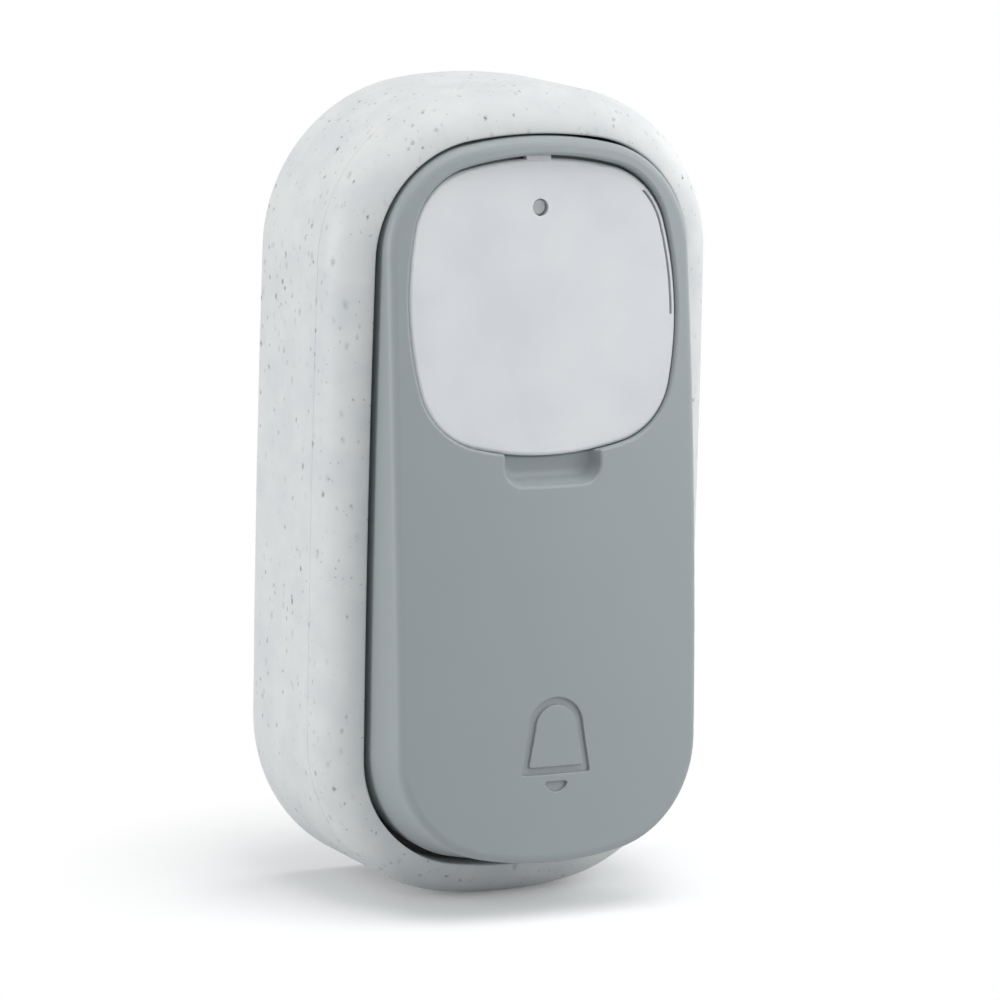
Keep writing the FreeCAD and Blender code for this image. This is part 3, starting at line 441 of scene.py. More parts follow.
# %% Case front
CASE_WALL = 2.0
SKIRT_INSET = 1.1
ROLL_RADIUS = 5.0
ROLL_RISE = 0.25
ROLL_SHARE = 0.7
ROLL_STEPS = 18
SEAM_BEVEL = 0.02
RIM_EDGE = 0.25
RIM_STEPS = 4
RIM_BACK = 1.1
BEAD_DEPTHS = (0.25, 0.95)


def quarter(steps):
    """Points of a quarter turn, as shares of the radius that fall from 1 to 0 and rise from 0 to 1."""
    turns = [math.radians(90) * step / steps for step in range(steps + 1)]
    return [(1 - math.sin(turn), 1 - math.cos(turn)) for turn in turns]


def roll_rise(point):
    """Height of the rolled front above the start of the roll, over a point of the case."""
    return math.sqrt(ROLL_RADIUS ** 2 - max(ROLL_RADIUS - inside(CASE, point), 0) ** 2)


seam = room("rear_shell")[1].z
roll_start = seam + ROLL_RISE
skirt_end = room("front_shell")[0].z
rings = [(CASE, SEAM_BEVEL, 0, seam), (CASE, 0, 0, seam + SEAM_BEVEL)]
last_turn = math.acos(1 - ROLL_SHARE)
for step in range(ROLL_STEPS + 1):
    turn = last_turn * step / ROLL_STEPS
    rings.append((CASE, ROLL_RADIUS * (1 - math.cos(turn)), 0, roll_start + ROLL_RADIUS * math.sin(turn)))
for out, down in quarter(RIM_STEPS):
    rings.append((OPENING, -RIM_EDGE * out, OPENING_MIDDLE, -RIM_EDGE * down))
on_the_roll = range(len(rings) - RIM_STEPS - 1, len(rings))
rings += [(OPENING, 0, OPENING_MIDDLE, seam + RIM_BACK), (CASE, CASE_WALL, 0, seam + RIM_BACK)]
rings += [(CASE, CASE_WALL, 0, skirt_end + depth) for depth in (BEAD_DEPTHS[1], BEAD_DEPTHS[0], 0)]
rings += [(CASE, SKIRT_INSET, 0, skirt_end), (CASE, SKIRT_INSET, 0, seam)]
bm = bmesh.new()
stack = []
loops = []
for number, ring in enumerate(rings):
    verts, edges = soft_ring(bm, *ring[:3])
    bmesh.ops.translate(bm, verts=verts, vec=Z * number)
    stack.append(verts)
    loops.append(edges)
for loop, following in zip(loops, loops[1:] + loops[:1]):
    bmesh.ops.bridge_loops(bm, edges=loop + following)
for number, (verts, ring) in enumerate(zip(stack, rings)):
    for vert in verts:
        vert.co.z = ring[3]
        if number in on_the_roll:
            vert.co.z += roll_start + roll_rise(vert.co)
longest = max(edge.calc_length() for edge in bm.edges)
print("rings in the case front: %d, longest edge %.2f mm" % (len(rings), longest))

# %% [markdown]
# Four beads on the inner wall snap over those of the chassis. Each is raised from the wall's own faces, so
# the case stays one closed skin.

# %% Snap beads inside the front
BEAD_SPAN = (9.5, 16.5)
BEAD_REACH = 0.7
WALL_BAND = 0.5

for side in (-1, 1):
    for end in (-1, 1):
        bead = []
        for face in bm.faces:
            middle = face.calc_center_median()
            on_wall = abs(middle.x * side - CASE[0] + CASE_WALL) < WALL_BAND
            in_depth = BEAD_DEPTHS[0] < middle.z - skirt_end < BEAD_DEPTHS[1]
            if on_wall and in_depth and BEAD_SPAN[0] < middle.y * end < BEAD_SPAN[1]:
                bead.append(face)
        raised = bmesh.ops.extrude_face_region(bm, geom=bead)["geom"]
        bmesh.ops.translate(bm, verts=verts_of(raised), vec=-X * side * BEAD_REACH)
        bmesh.ops.delete(bm, geom=bead, context="FACES")
finished("case_front", bm, "front_shell", sharp=30)

# %% [markdown]
# The panel's wall flares outwards at its foot, from the face down to the opening, so that only a narrow dark
# gap is left round the bell end. A copy of the CAD mesh gets that flare: it is merged, cut in a few planes
# down to where the roll is highest, and the wall's points are drawn down, more towards the foot and towards
# the roll. The CAD surface knows its true normals, and a merged mesh would lose them. So each corner of a
# face carries its normal along, turned as the flare turns the wall, and gets it back at the end.

# %% Push panel
PANEL_ARCS = (2000.0, 41.1, 11.5)
PANEL_EDGE = 1.0
PANEL_SKIRT = 1.7
PANEL_WELD = 0.002
FLARE_START = -14.0
FLARE_REACH = 1.3
FLARE_STEPS = 4
CUT_SNAP = 0.001
LEVEL_BAND = 0.01

low, high = room("push_panel")
panel_outline = ((high.x - low.x) / 2, (high.y - low.y) / 2) + PANEL_ARCS
panel_middle = (high.y + low.y) / 2
roll_top = roll_start + ROLL_RADIUS
face_edge = high.z - PANEL_EDGE
fall = face_edge - roll_top
bm = bmesh.new()
bm.from_mesh(nodes["push_panel"].data)
mould_normal = bm.loops.layers.float_vector.new("mould_normal")
corner_normals = iter(nodes["push_panel"].data.corner_normals)
for face in bm.faces:
    for corner in face.loops:
        corner[mould_normal] = next(corner_normals).vector
bmesh.ops.transform(bm, matrix=STAND_UP.inverted(), verts=bm.verts)
bmesh.ops.remove_doubles(bm, verts=bm.verts, dist=PANEL_WELD)
for step in range(FLARE_STEPS):
    level = roll_top + fall * step / FLARE_STEPS
    bmesh.ops.bisect_plane(bm, geom=list(bm.verts) + list(bm.edges) + list(bm.faces), dist=CUT_SNAP,
                           plane_co=Z * level, plane_no=Z)
gaps = []
for vert in bm.verts:
    if inside(panel_outline, vert.co, panel_middle) > PANEL_SKIRT or vert.co.y > FLARE_START:
        continue
    towards_foot = (vert.co.y - FLARE_START) / (low.y - FLARE_START)
    towards_roll = min(max((face_edge - vert.co.z) / fall, 0), 1)
    slope = 2 * FLARE_REACH * towards_foot * towards_roll / fall if towards_roll < 1 else 0
    for corner in vert.link_loops:
        normal = corner[mould_normal]
        corner[mould_normal] = (normal + Vector((0, slope * normal.z, 0))).normalized()
    vert.co.y -= FLARE_REACH * towards_foot * towards_roll ** 2
    if vert.co.z < roll_top + LEVEL_BAND:
        gaps.append(inside(OPENING, vert.co, OPENING_MIDDLE))
panel = finished("rocker_panel", bm, "push_panel", sharp=30)
carried = panel.data.attributes["mould_normal"]
panel.data.normals_split_custom_set([corner.vector for corner in carried.data])
panel.data.attributes.remove(panel.data.attributes["mould_normal"])
print("narrowest gap at the foot %.2f mm" % min(gaps))

# %% [markdown]
# The small parts inside are made from a few kinds of bench work. Screws, the cell, the button and other
# round parts are turned: a profile is spun round an axis. Recesses are cut out with a tool, by an exact
# Boolean. A short rod shows that the turning is right: its volume is a little under that of a round one.

# %% Turning and cutting
def turned(bm, profile, at, segments=48, solid=True):
    """Adds a piece turned from points of (radius, depth). A solid one is closed to its axis at both ends."""
    before = set(bm.verts)
    start = [(0, profile[0][1])] if solid and profile[0][0] else []
    stop = [(0, profile[-1][1])] if solid and profile[-1][0] else []
    points = [bm.verts.new((radius, 0, depth)) for radius, depth in start + profile + stop]
    edges = [bm.edges.new(pair) for pair in zip(points, points[1:])]
    bmesh.ops.spin(bm, geom=points + edges, cent=(0, 0, 0), axis=Z, angle=math.tau, steps=segments,
                   use_merge=True)
    bmesh.ops.remove_doubles(bm, verts=added(bm.verts, before), dist=WELD)
    bmesh.ops.translate(bm, verts=added(bm.verts, before), vec=at)


def carved(bm, tool):
    """The bench mesh with the tool's shape cut out of it."""
    stands = []
    for mesh_at_work in (bm, tool):
        mesh = bpy.data.meshes.new("bench")
        bmesh.ops.recalc_face_normals(mesh_at_work, faces=mesh_at_work.faces)
        mesh_at_work.to_mesh(mesh)
        mesh_at_work.free()
        stand = bpy.data.objects.new("bench", mesh)
        bpy.context.scene.collection.objects.link(stand)
        stands.append(stand)
    cut = stands[0].modifiers.new("cut", "BOOLEAN")
    cut.solver = "EXACT"
    cut.object = stands[1]
    result = bmesh.new()
    result.from_object(stands[0], bpy.context.evaluated_depsgraph_get())
    for stand in stands:
        bpy.data.objects.remove(stand)
    return result


def middle_of(low, high):
    """Middle of a room seen from the front, at depth 0."""
    return Vector(((low.x + high.x) / 2, (low.y + high.y) / 2, 0))


rod = bmesh.new()
turned(rod, [(1, 0), (1, 2)], Vector())
print("a turned rod holds %.3f cubic mm, a round one %.3f" % (rod.calc_volume(), math.tau))
rod.free()

# %% [markdown]
# The screws are thread-forming ones for plastic: a pan head with a cross recess, a slim core, and a sharp
# ridge that winds round it. The ridge is a triangle spun round the axis while it climbs by the pitch at
# each turn. It is sunk a little into the core, as it is on the rolled steel.

# %% Screws
CORE_SHARE = 0.74
TIP_SHARE = 0.35
HEAD_ROUND = 0.45
HEAD_STEPS = 5
CROSS_WIDTH = 0.45
CROSS_DEPTH = 0.5
CROSS_SHARE = 0.6
CROSS_TAPER = 0.8
RIDGE_SHARE = 0.3
RIDGE_SUNK = 0.06
THREAD_START = 0.6
THREAD_STEPS = 20


def screw(head_radius, head_height, radius, length, pitch):
    """Screw with its seat at depth 0 and its head towards the wall."""
    core = radius * CORE_SHARE
    head = [(head_radius - HEAD_ROUND * out, HEAD_ROUND * up - head_height)
            for out, up in quarter(HEAD_STEPS)]
    shank = [(head_radius, 0), (core, 0), (core, length - core), (core * TIP_SHARE, length)]
    bm = bmesh.new()
    turned(bm, head + shank, Vector(), segments=40)
    arm = head_radius * CROSS_SHARE
    for wide, tall in ((arm, CROSS_WIDTH / 2), (CROSS_WIDTH / 2, arm)):
        tool = bmesh.new()
        for vert in bmesh.ops.create_cube(tool, size=2.0)["verts"]:
            narrowed = CROSS_TAPER if vert.co.z > 0 else 1.0
            vert.co = Vector((vert.co.x * wide * narrowed, vert.co.y * tall * narrowed,
                              vert.co.z * CROSS_DEPTH - head_height))
        bm = carved(bm, tool)
    start = pitch * THREAD_START
    half = pitch * RIDGE_SHARE
    foot = core - RIDGE_SUNK
    triangle = ((foot, 0, start - half), (radius, 0, start), (foot, 0, start + half))
    ridge = [bm.verts.new(point) for point in triangle]
    edges = [bm.edges.new(pair) for pair in zip(ridge, ridge[1:] + ridge[:1])]
    steps = int((length - core - start) / pitch * THREAD_STEPS)
    bmesh.ops.spin(bm, geom=ridge + edges, cent=(0, 0, 0), axis=Z, angle=math.tau * steps / THREAD_STEPS,
                   dvec=Z * pitch / THREAD_STEPS, steps=steps)
    bmesh.ops.holes_fill(bm, edges=[edge for edge in bm.edges if edge.is_boundary], sides=3)
    return bm


def screw_set(name, node, corners, head_radius, head_height, radius, pitch):
    """Copies of one screw, in those corners of its node's room that the pairs of -1 and 1 name."""
    low, high = room(node)
    seat = middle_of(low, high) + Z * (low.z + head_height)
    reach = (high - low) / 2 - Vector((head_radius, head_radius, 0))
    bm = screw(head_radius, head_height, radius, high.z - low.z - head_height, pitch)
    copies = [list(bm.verts) + list(bm.edges) + list(bm.faces)]
    while len(copies) < len(corners):
        copies.append(bmesh.ops.duplicate(bm, geom=copies[0])["geom"])
    for (across, up), copy in zip(corners, copies):
        bmesh.ops.translate(bm, verts=verts_of(copy), vec=seat + X * across * reach.x + Y * up * reach.y)
    finished(name, bm, node)


screw_set("case_screw_set", "case_screws", ((-1, -1), (-1, 1), (1, -1), (1, 1)),
          head_radius=1.9, head_height=1.2, radius=1.0, pitch=0.8)
screw_set("board_screw_set", "board_screws", ((-1, 1), (1, -1)),
          head_radius=1.6, head_height=0.9, radius=0.8, pitch=0.6)

# %% [markdown]
# A coin cell is two pressed cups, one inside the other, with a plastic gasket between them. The can's wall
# is crimped in over the gasket, and the lid stands a little higher. All three are turned shapes. Their
# profiles are given as distances in from the cell's rim, and over its back or below its front.

# %% Coin cell
CAN_BASE = ((1.3, 0.04), (1.1, 0.0), (0.3, 0.0), (0.09, 0.09), (0.0, 0.3))
CAN_CRIMP = ((0.0, 0.85), (0.08, 0.62), (0.28, 0.5), (0.5, 0.46), (0.5, 0.7))
LID = ((0.72, 0.69), (0.72, 0.3), (0.84, 0.08), (1.1, 0.0), (2.2, 0.0), (2.35, 0.05))
GASKET = ((0.7, 0.68), (0.52, 0.68), (0.52, 0.4), (0.6, 0.34), (0.7, 0.38), (0.7, 0.68))
CELL_SEGMENTS = 96

low, high = room("coin_cell")
middle = middle_of(low, high)
rim = high.x - middle.x
base = [(rim - inwards, low.z + rise) for inwards, rise in CAN_BASE]
crimp, lid, gasket = ([(rim - inwards, high.z - drop) for inwards, drop in points]
                      for points in (CAN_CRIMP, LID, GASKET))
bm = bmesh.new()
turned(bm, base + crimp, middle, CELL_SEGMENTS)
turned(bm, lid, middle, CELL_SEGMENTS)
finished("cell_cups", bm, "coin_cell")
bm = bmesh.new()
turned(bm, gasket, middle, CELL_SEGMENTS, solid=False)
finished("cell_gasket", bm, "coin_cell", slot="rubber_black")

# %% [markdown]
# The contacts are spring bronze strips, bent on a press and gold plated. A strip starts as a path of
# straight edges. A vertex bevel rounds the bends, an extrusion widens it, and solidify makes it thick.

# %% Battery contacts
CLIP = 0.25
SPRING_FLAT = 3.0
SPRING_BEND = 0.8
CORNER_BEND = 0.4


def bent_strip(bm, path, bend, across, thickness):
    """Adds a strip of sheet metal: a path with rounded bends, widened by a vector and made thick."""
    before = set(bm.faces)
    points = [bm.verts.new(point) for point in path]
    for pair in zip(points, points[1:]):
        bm.edges.new(pair)
    bmesh.ops.bevel(bm, geom=points[1:-1], offset=bend, segments=5, profile=0.5, affect="VERTICES",
                    material=-1)
    wires = [edge for edge in bm.edges if edge.is_wire]
    widened = bmesh.ops.extrude_edge_only(bm, edges=wires)["geom"]
    bmesh.ops.translate(bm, verts=verts_of(widened), vec=across)
    sheet = added(bm.faces, before)
    bmesh.ops.recalc_face_normals(bm, faces=sheet)
    bmesh.ops.solidify(bm, geom=sheet, thickness=thickness)


low, high = room("battery_clip_negative")
foot = low.z + CLIP
bm = bmesh.new()
bent_strip(bm, [(low.x, low.y, high.z), (low.x, low.y + SPRING_FLAT, high.z),
                (low.x, high.y - SPRING_FLAT, foot), (low.x, high.y, foot)],
           SPRING_BEND, X * (high.x - low.x), CLIP)
finished("negative_spring", bm, "battery_clip_negative")
low, high = room("battery_clip_positive")
bm = bmesh.new()
bent_strip(bm, [(low.x, low.y, low.z), (low.x, low.y, high.z), (high.x, low.y, high.z)],
           CORNER_BEND, Y * (high.y - low.y), CLIP)
finished("positive_spring", bm, "battery_clip_positive")

# %% [markdown]
# On the board sits a radio chip in a flat square package with pads round its foot. A block is a cube that
# is stretched to its size and gets its edges rounded. A shallow round dimple marks the corner of the package
# where its pads are counted from.

# %% Radio chip
PACKAGE_EDGE = 0.12
DIMPLE_RADIUS = 0.3
DIMPLE_FLARE = 0.06
DIMPLE_DEPTH = 0.08
DIMPLE_INSET = 0.8
CLEAR = 0.3
PADS = 8
PAD_PITCH = 0.5
PAD_WIDTH = 0.25
PAD_LENGTH = 0.6
PAD_HEIGHT = 0.2
PAD_PROUD = 0.05
PAD_EDGE = 0.02


def block(bm, low, high, radius):
    """Adds a block between two corners, with its edges rounded by the radius."""
    before = set(bm.edges)
    bmesh.ops.create_cube(bm, size=1.0, matrix=Matrix.Translation((low + high) / 2)
                          @ Matrix.Diagonal((high - low).to_4d()))
    bmesh.ops.bevel(bm, geom=added(bm.edges, before), offset=radius, segments=3, profile=0.5,
                    affect="EDGES", material=-1)


low, high = room("radio_chip")
bm = bmesh.new()
block(bm, low, high, PACKAGE_EDGE)
tool = bmesh.new()
turned(tool, [(DIMPLE_RADIUS, high.z - DIMPLE_DEPTH), (DIMPLE_RADIUS + DIMPLE_FLARE, high.z + CLEAR)],
       Vector((low.x + DIMPLE_INSET, high.y - DIMPLE_INSET, 0)), segments=32)
finished("radio_package", carved(bm, tool), "radio_chip")
bm = bmesh.new()
middle = middle_of(low, high) + Z * low.z
reach = high.x - middle.x + PAD_PROUD - PAD_LENGTH / 2
for number in range(PADS):
    shift = (number - (PADS - 1) / 2) * PAD_PITCH
    for along, across in ((X, Y), (Y, X)):
        wide = along * PAD_WIDTH / 2 + across * PAD_LENGTH / 2
        for side in (-1, 1):
            pad = middle + along * shift + across * side * reach
            block(bm, pad - wide, pad + wide + Z * PAD_HEIGHT, PAD_EDGE)
finished("radio_pads", bm, "radio_chip", slot="steel")

# %% [markdown]
# Near the chip stand a crystal in a drawn steel can on a flange, and chip resistors and capacitors, each a
# small block between two tinned ends.

# %% Crystal, resistors and capacitors
FLANGE = 0.18
FLANGE_EDGE = 0.06
CAN_EDGE = 0.28
CHIP_EDGE = 0.03
END_EDGE = 0.06


def chip_row(names, node, count, width, end_length):
    """A row of chip parts: their bodies as one piece and their tinned ends as another."""
    low, high = room(node)
    pitch = (high.x - low.x - width) / (count - 1)
    bodies = bmesh.new()
    ends = bmesh.new()
    thin = Vector((CHIP_EDGE, CHIP_EDGE, CHIP_EDGE))
    for number in range(count):
        corner = Vector((low.x + pitch * number, low.y, low.z))
        far = Vector((corner.x + width, high.y, high.z))
        block(bodies, corner + thin, far - thin, CHIP_EDGE)
        block(ends, corner, Vector((far.x, corner.y + end_length, far.z)), END_EDGE)
        block(ends, Vector((corner.x, far.y - end_length, corner.z)), far, END_EDGE)
    finished(names[0], bodies, node)
    finished(names[1], ends, node, slot="steel")


low, high = room("crystal")
flange = Vector((FLANGE, FLANGE, 0))
bm = bmesh.new()
block(bm, low + flange, high - flange, CAN_EDGE)
block(bm, low, Vector((high.x, high.y, low.z + FLANGE)), FLANGE_EDGE)
finished("crystal_can", bm, "crystal")
chip_row(("resistor_bodies", "resistor_ends"), "resistors", count=5, width=0.8, end_length=0.32)
chip_row(("capacitor_bodies", "capacitor_ends"), "capacitors", count=2, width=1.6, end_length=0.55)

# %% [markdown]
# The indicator light is a white moulded body between two tinned terminals, with a round clear lens on it.
# The lens is turned, with a profile that ends in a flattened dome.

# %% Indicator light
LIGHT_HEIGHT = 0.5
LIGHT_INSET = 0.3
LIGHT_EDGE = 0.04
TERMINAL_LENGTH = 0.36
TERMINAL_HEIGHT = 0.25
TERMINAL_INSET = 0.1
TERMINAL_EDGE = 0.03
LENS_RADIUS = 0.5
LENS_RISE = 0.32
LENS_SUNK = 0.02
LENS_FOOT = 0.1

white_body = moulded("white_moulding", "#E9E9E4", 0.5, 0.1 * MM)
low, high = room("status_led")
top = low.z + LIGHT_HEIGHT
bm = bmesh.new()
block(bm, low + X * LIGHT_INSET, Vector((high.x - LIGHT_INSET, high.y, top)), LIGHT_EDGE)
finished("light_body", bm, "status_led", finish=white_body)
bm = bmesh.new()
for near, far in ((low.x, low.x + TERMINAL_LENGTH), (high.x - TERMINAL_LENGTH, high.x)):
    block(bm, Vector((near, low.y + TERMINAL_INSET, low.z)),
          Vector((far, high.y - TERMINAL_INSET, low.z + TERMINAL_HEIGHT)), TERMINAL_EDGE)
finished("light_terminals", bm, "status_led", slot="steel")
dome = [(LENS_RADIUS * math.cos(turn), top - LENS_SUNK + LENS_RISE * math.sin(turn))
        for turn in map(math.radians, range(0, 90, 15))]
bm = bmesh.new()
turned(bm, [(LENS_RADIUS, top - LENS_FOOT)] + dome + [(0, top - LENS_SUNK + LENS_RISE)],
       middle_of(low, high), segments=40)
finished("light_lens", bm, "status_led")

# %% [markdown]
# The switch has a black base with a well for its button, and a steel cover folded over it. Two tabs of the
# cover reach down its sides, and four bent legs stand on the board. The button comes up through a hole in
# the cover, and it moves by itself, so it is a piece of its own.

# %% Push switch
SHEET = 0.2
SHEET_EDGE = 0.05
BASE_INSET = 0.1
BASE_EDGE = 0.15
WELL_FLOOR = 0.6
WELL_GAP = 0.08
HOLE_GAP = 0.15
TAB_WIDTH = 3.2
TAB_THICKNESS = 0.1
TAB_FOOT = 1.2
TAB_EDGE = 0.03
LEG_PLACE = 2.2
LEG_WIDTH = 0.7
LEG_LENGTH = 0.9
LEG_TOP = 1.0
LEG_THICKNESS = 0.12
BUTTON_EDGE = 0.25
BUTTON_CORNER = 0.08


def drilled(bm, radius, bottom, top, at):
    """The bench mesh with a round hole drilled into it."""
    tool = bmesh.new()
    turned(tool, [(radius, bottom), (radius, top)], at, segments=64)
    return carved(bm, tool)


low, high = room("switch_body")
button_low, button_high = room("switch_plunger")
middle = middle_of(low, high)
button = (button_high.x - button_low.x) / 2
half = high.x - middle.x
inset = Vector((BASE_INSET, BASE_INSET, 0))
bm = bmesh.new()
block(bm, low + inset, high - inset - Z * SHEET, BASE_EDGE)
bm = drilled(bm, button + WELL_GAP, low.z + WELL_FLOOR, high.z + 1, middle)
finished("switch_base", bm, "switch_body")
bm = bmesh.new()
block(bm, Vector((low.x, low.y, high.z - SHEET)) + inset, high - inset, SHEET_EDGE)
bm = drilled(bm, button + HOLE_GAP, low.z, high.z + 1, middle)
for side in (-1, 1):
    tab = middle + X * side * (half - TAB_THICKNESS / 2)
    wide = Vector((TAB_THICKNESS / 2, TAB_WIDTH / 2, 0))
    block(bm, tab - wide + Z * (low.z + TAB_FOOT), tab + wide + Z * (high.z - SHEET / 2), TAB_EDGE)
finished("switch_cover", bm, "switch_body", slot="steel")
bm = bmesh.new()
for side in (-1, 1):
    for up in (-1, 1):
        stem = middle + X * side * (half - BASE_INSET) + Y * (up * LEG_PLACE - LEG_WIDTH / 2)
        foot = stem + Z * (low.z + LEG_THICKNESS)
        bent_strip(bm, [stem + Z * (low.z + LEG_TOP), foot, foot + X * side * LEG_LENGTH],
                   LEG_THICKNESS, Y * LEG_WIDTH, LEG_THICKNESS)
finished("switch_legs", bm, "switch_body", slot="steel")
bm = bmesh.new()
turned(bm, [(button, button_low.z), (button, button_high.z - BUTTON_EDGE),
            (button - BUTTON_CORNER, button_high.z - BUTTON_CORNER),
            (button - BUTTON_EDGE, button_high.z)], middle, segments=64)
finished("switch_button", bm, "switch_plunger")

# %% [markdown]
# The pin of the panel is cut from ground rod, with its ends chamfered so that it slides in. It is turned on
# the bench's axis and laid down afterwards. The press pad is a rubber disc with rounded edges. The face that
# meets the switch has a shallow round groove, which lets it give a little before the switch clicks.

# %% Hinge pin and press pad
PIN_CHAMFER = 0.2
GROOVE = (0.9, 1.6)
GROOVE_DEPTH = 0.1
RUBBER_EDGE = 0.2
RUBBER_CORNER = 0.06

low, high = room("panel_hinge_pin")
radius = (high.y - low.y) / 2
half = (high.x - low.x) / 2
bm = bmesh.new()
turned(bm, [(radius - PIN_CHAMFER, -half), (radius, PIN_CHAMFER - half), (radius, half - PIN_CHAMFER),
            (radius - PIN_CHAMFER, half)], Vector(), segments=32)
bmesh.ops.rotate(bm, verts=bm.verts, cent=(0, 0, 0), matrix=Matrix.Rotation(math.radians(90), 3, "Y"))
bmesh.ops.translate(bm, verts=bm.verts, vec=(low + high) / 2)
finished("ground_pin", bm, "panel_hinge_pin")

low, high = room("press_pad")
radius = (high.x - low.x) / 2
groove = low.z + GROOVE_DEPTH
bm = bmesh.new()
turned(bm, [(GROOVE[0], low.z), (GROOVE[0] + GROOVE_DEPTH, groove), (GROOVE[1] - GROOVE_DEPTH, groove),
            (GROOVE[1], low.z), (radius - RUBBER_EDGE, low.z),
            (radius - RUBBER_CORNER, low.z + RUBBER_CORNER), (radius, low.z + RUBBER_EDGE),
            (radius, high.z - RUBBER_EDGE), (radius - RUBBER_CORNER, high.z - RUBBER_CORNER),
            (radius - RUBBER_EDGE, high.z)], middle_of(low, high), segments=64)
finished("rubber_pad", bm, "press_pad")

# %% [markdown]
# The light pipe is a clear rod with a slimmer tip that stands in the window's round hole, so the hole looks
# shallow and pale. The tip ends a little below the window's face, where a finger can't push it.

# %% Light pipe
PIPE_EDGE = 0.1
TIP_RADIUS = 0.78
TIP_SHOULDER = 0.3
TIP_REACH = 0.72
TIP_EDGE = 0.08

low, high = room("light_pipe")
radius = (high.x - low.x) / 2
tip = high.z + TIP_REACH
bm = bmesh.new()
turned(bm, [(radius - PIPE_EDGE, low.z), (radius, low.z + PIPE_EDGE), (radius, high.z - TIP_SHOULDER),
            (TIP_RADIUS, high.z - TIP_SHOULDER), (TIP_RADIUS, tip - TIP_EDGE), (TIP_RADIUS - TIP_EDGE, tip)],
       middle_of(low, high))
finished("light_rod", bm, "light_pipe")

# %% [markdown]
# The aerial is a length of tinned wire with its two feet soldered to the board. Solder wets the wire and
# draws up into a hollow cone, which a turned profile with a concave side gives.

# %% Solder at the aerial's feet
SOLDER_SPREAD = 0.55
SOLDER_HEIGHT = 0.6
SOLDER_STEPS = 6

low, high = room("aerial")
wire = (high.x - low.x) / 2
board_front = room("circuit_board")[1].z
cone = [(wire + SOLDER_SPREAD * out, board_front + SOLDER_HEIGHT * up)
        for out, up in quarter(SOLDER_STEPS)]
bm = bmesh.new()
for foot in (low.y + wire, high.y - wire):
    turned(bm, cone, Vector(((low.x + high.x) / 2, foot, 0)), segments=32)
finished("aerial_solder", bm, "aerial", beside=True)

# %% [markdown]
# The button stands upright on a plain white floor, under soft studio light. The floor keeps the object's
# shadow. Away from the object it fades to the plain white of the sky, but only for what the camera sees
# straight, mirrored or through clear plastic. The light that the floor throws back at the object stays that
# of grey paper, so that the underside keeps its shade.

# %% Floor and sky
FLOOR_SIZE = 6.0
FADE_START = 26 * MM
FADE_END = 48 * MM
GLOW = 0.13
SKY_LIGHT = 0.35


def seen_directly(tree):
    """1 for what the camera sees straight, mirrored or through clear material, and 0 for soft light."""
    ray = add(tree, "LightPath").outputs
    seen = add(tree, "Math", {0: ray["Is Camera Ray"], 1: ray["Is Glossy Ray"]}, operation="ADD")
    return add(tree, "Math", {0: seen, 1: ray["Is Transmission Ray"]}, operation="ADD",
               use_clamp=True)


low, high = cad_box
bpy.ops.mesh.primitive_plane_add(size=FLOOR_SIZE, location=(0, 0, low.z))
floor = bpy.context.object
floor.name = "floor"
material, tree, place = new_material("white_floor")
seen = seen_directly(tree)
paint = add(tree, "MixRGB", {0: seen, 1: linear("#D4D6D8"), 2: linear("#FCFCFC")})
matte = add(tree, "BsdfDiffuse", {"Color": paint})
lift = add(tree, "Math", {0: seen, 1: GLOW}, operation="MULTIPLY")
glow = add(tree, "Emission", {"Color": linear("#FFFFFF"), "Strength": lift})
lifted = add(tree, "AddShader", {0: matte, 1: glow})
white = add(tree, "Emission", {"Color": linear("#FFFFFF"), "Strength": 1.0})
centred = add(tree, "Mapping", {"Vector": place, "Location": (0, -(low.y + high.y) / 2, 0)})
distance = add(tree, "VectorMath", {0: centred}, operation="LENGTH")
fade = add(tree, "MapRange", {0: distance.outputs["Value"], 1: FADE_START, 2: FADE_END})
share = add(tree, "Math", {0: fade, 1: seen}, operation="MULTIPLY")
mixed = add(tree, "MixShader", {0: share, 1: lifted, 2: white})
add(tree, "OutputMaterial", {"Surface": mixed})
floor.data.materials.append(material)

world = bpy.data.worlds.new("studio")
bpy.context.scene.world = world
world.use_nodes = True
world.node_tree.nodes.clear()
ambient = add(world.node_tree, "Background", {"Color": linear("#F4F7FA"), "Strength": SKY_LIGHT})
white = add(world.node_tree, "Background", {"Color": linear("#FFFFFF"), "Strength": 1.0})
seen = seen_directly(world.node_tree)
sky = add(world.node_tree, "MixShader", {0: seen, 1: ambient, 2: white})
add(world.node_tree, "OutputWorld", {"Surface": sky})
print("floor %.1f mm below the middle of the button" % (-low.z / MM))

# %% [markdown]
# Large area lamps left, right and above light the sides and the top. A weaker one fills the front from the
# right, so the grey panel stays calm. Each lamp is placed by two angles and a distance, and looks at the
# middle of the button. The left one is kept small enough to clear the floor.

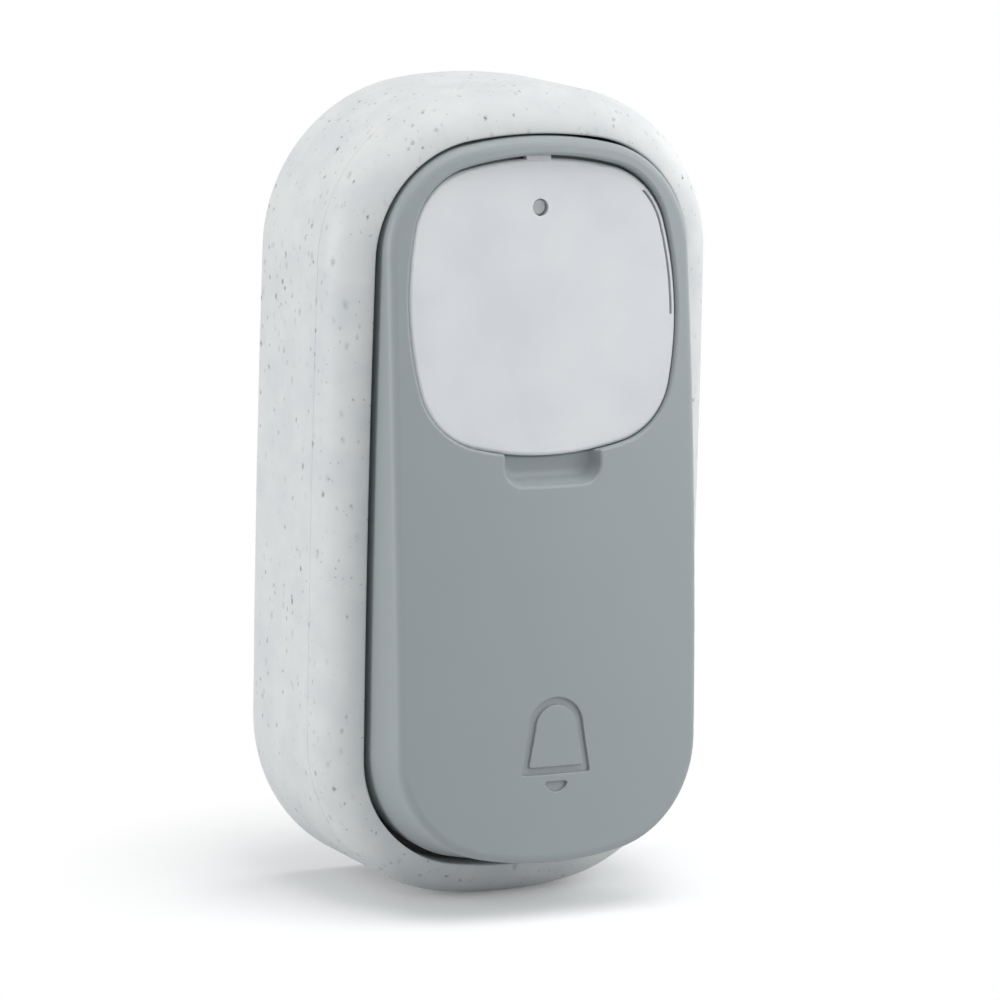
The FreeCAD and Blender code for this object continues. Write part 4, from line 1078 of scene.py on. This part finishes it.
# %% Lamps
def direction(azimuth, elevation):
    """Unit vector from the button to a place. Azimuth 0 is in front of it, and 90 at its right."""
    a = math.radians(azimuth)
    e = math.radians(elevation)
    return Vector((math.sin(a) * math.cos(e), -math.cos(a) * math.cos(e), math.sin(e)))


def soft_box(name, azimuth, elevation, distance, size, power):
    """Square area lamp that looks at the button, with its distance and size in metres and power in watts."""
    data = bpy.data.lights.new(name, "AREA")
    data.size = size
    data.energy = power
    lamp = bpy.data.objects.new(name, data)
    bpy.context.scene.collection.objects.link(lamp)
    back = direction(azimuth, elevation)
    lamp.location = back * distance
    lamp.rotation_euler = back.to_track_quat("Z", "Y").to_euler()
    print("%-10s %.2f W" % (name, power))


soft_box("left_box", -102, 8, 0.6, 0.25, 1.48)
soft_box("right_box", 100, 16, 0.6, 0.4, 0.7)
soft_box("top_box", 15, 78, 0.6, 0.5, 1.85)
soft_box("front_box", 40, 28, 0.32, 0.25, 0.36)

# %% [markdown]
# The camera stands to the left of the button and a little above it, a long way off with a long lens, as in
# the product photograph. Its place is given by two angles and a distance from a point inside the case, and
# it is rolled by about one and a half degrees.

# %% Camera
VIEW_AZIMUTH = -27.15
VIEW_ELEVATION = 9.92
VIEW_ROLL = 1.58
VIEW_DISTANCE = 574.6 * MM
VIEW_TARGET = Vector((0.98, -12.0, -1.48)) * MM
LENS = 196.7

back = direction(VIEW_AZIMUTH, VIEW_ELEVATION)
roll = math.radians(VIEW_ROLL)
right = (-back).cross(Vector((0, 0, 1))).normalized()
up = right.cross(-back)
rolled_right = right * math.cos(roll) + up * math.sin(roll)
rolled_up = up * math.cos(roll) - right * math.sin(roll)
camera = bpy.data.objects.new("camera", bpy.data.cameras.new("camera"))
bpy.context.scene.collection.objects.link(camera)
turn = Matrix((rolled_right, rolled_up, back)).transposed().to_4x4()
camera.matrix_world = Matrix.Translation(VIEW_TARGET + back * VIEW_DISTANCE) @ turn
camera.data.lens = LENS
bpy.context.scene.camera = camera
bpy.context.scene.view_settings.view_transform = "Standard"
print("camera at %.0f, %.0f, %.0f mm" % tuple(camera.matrix_world.translation / MM))
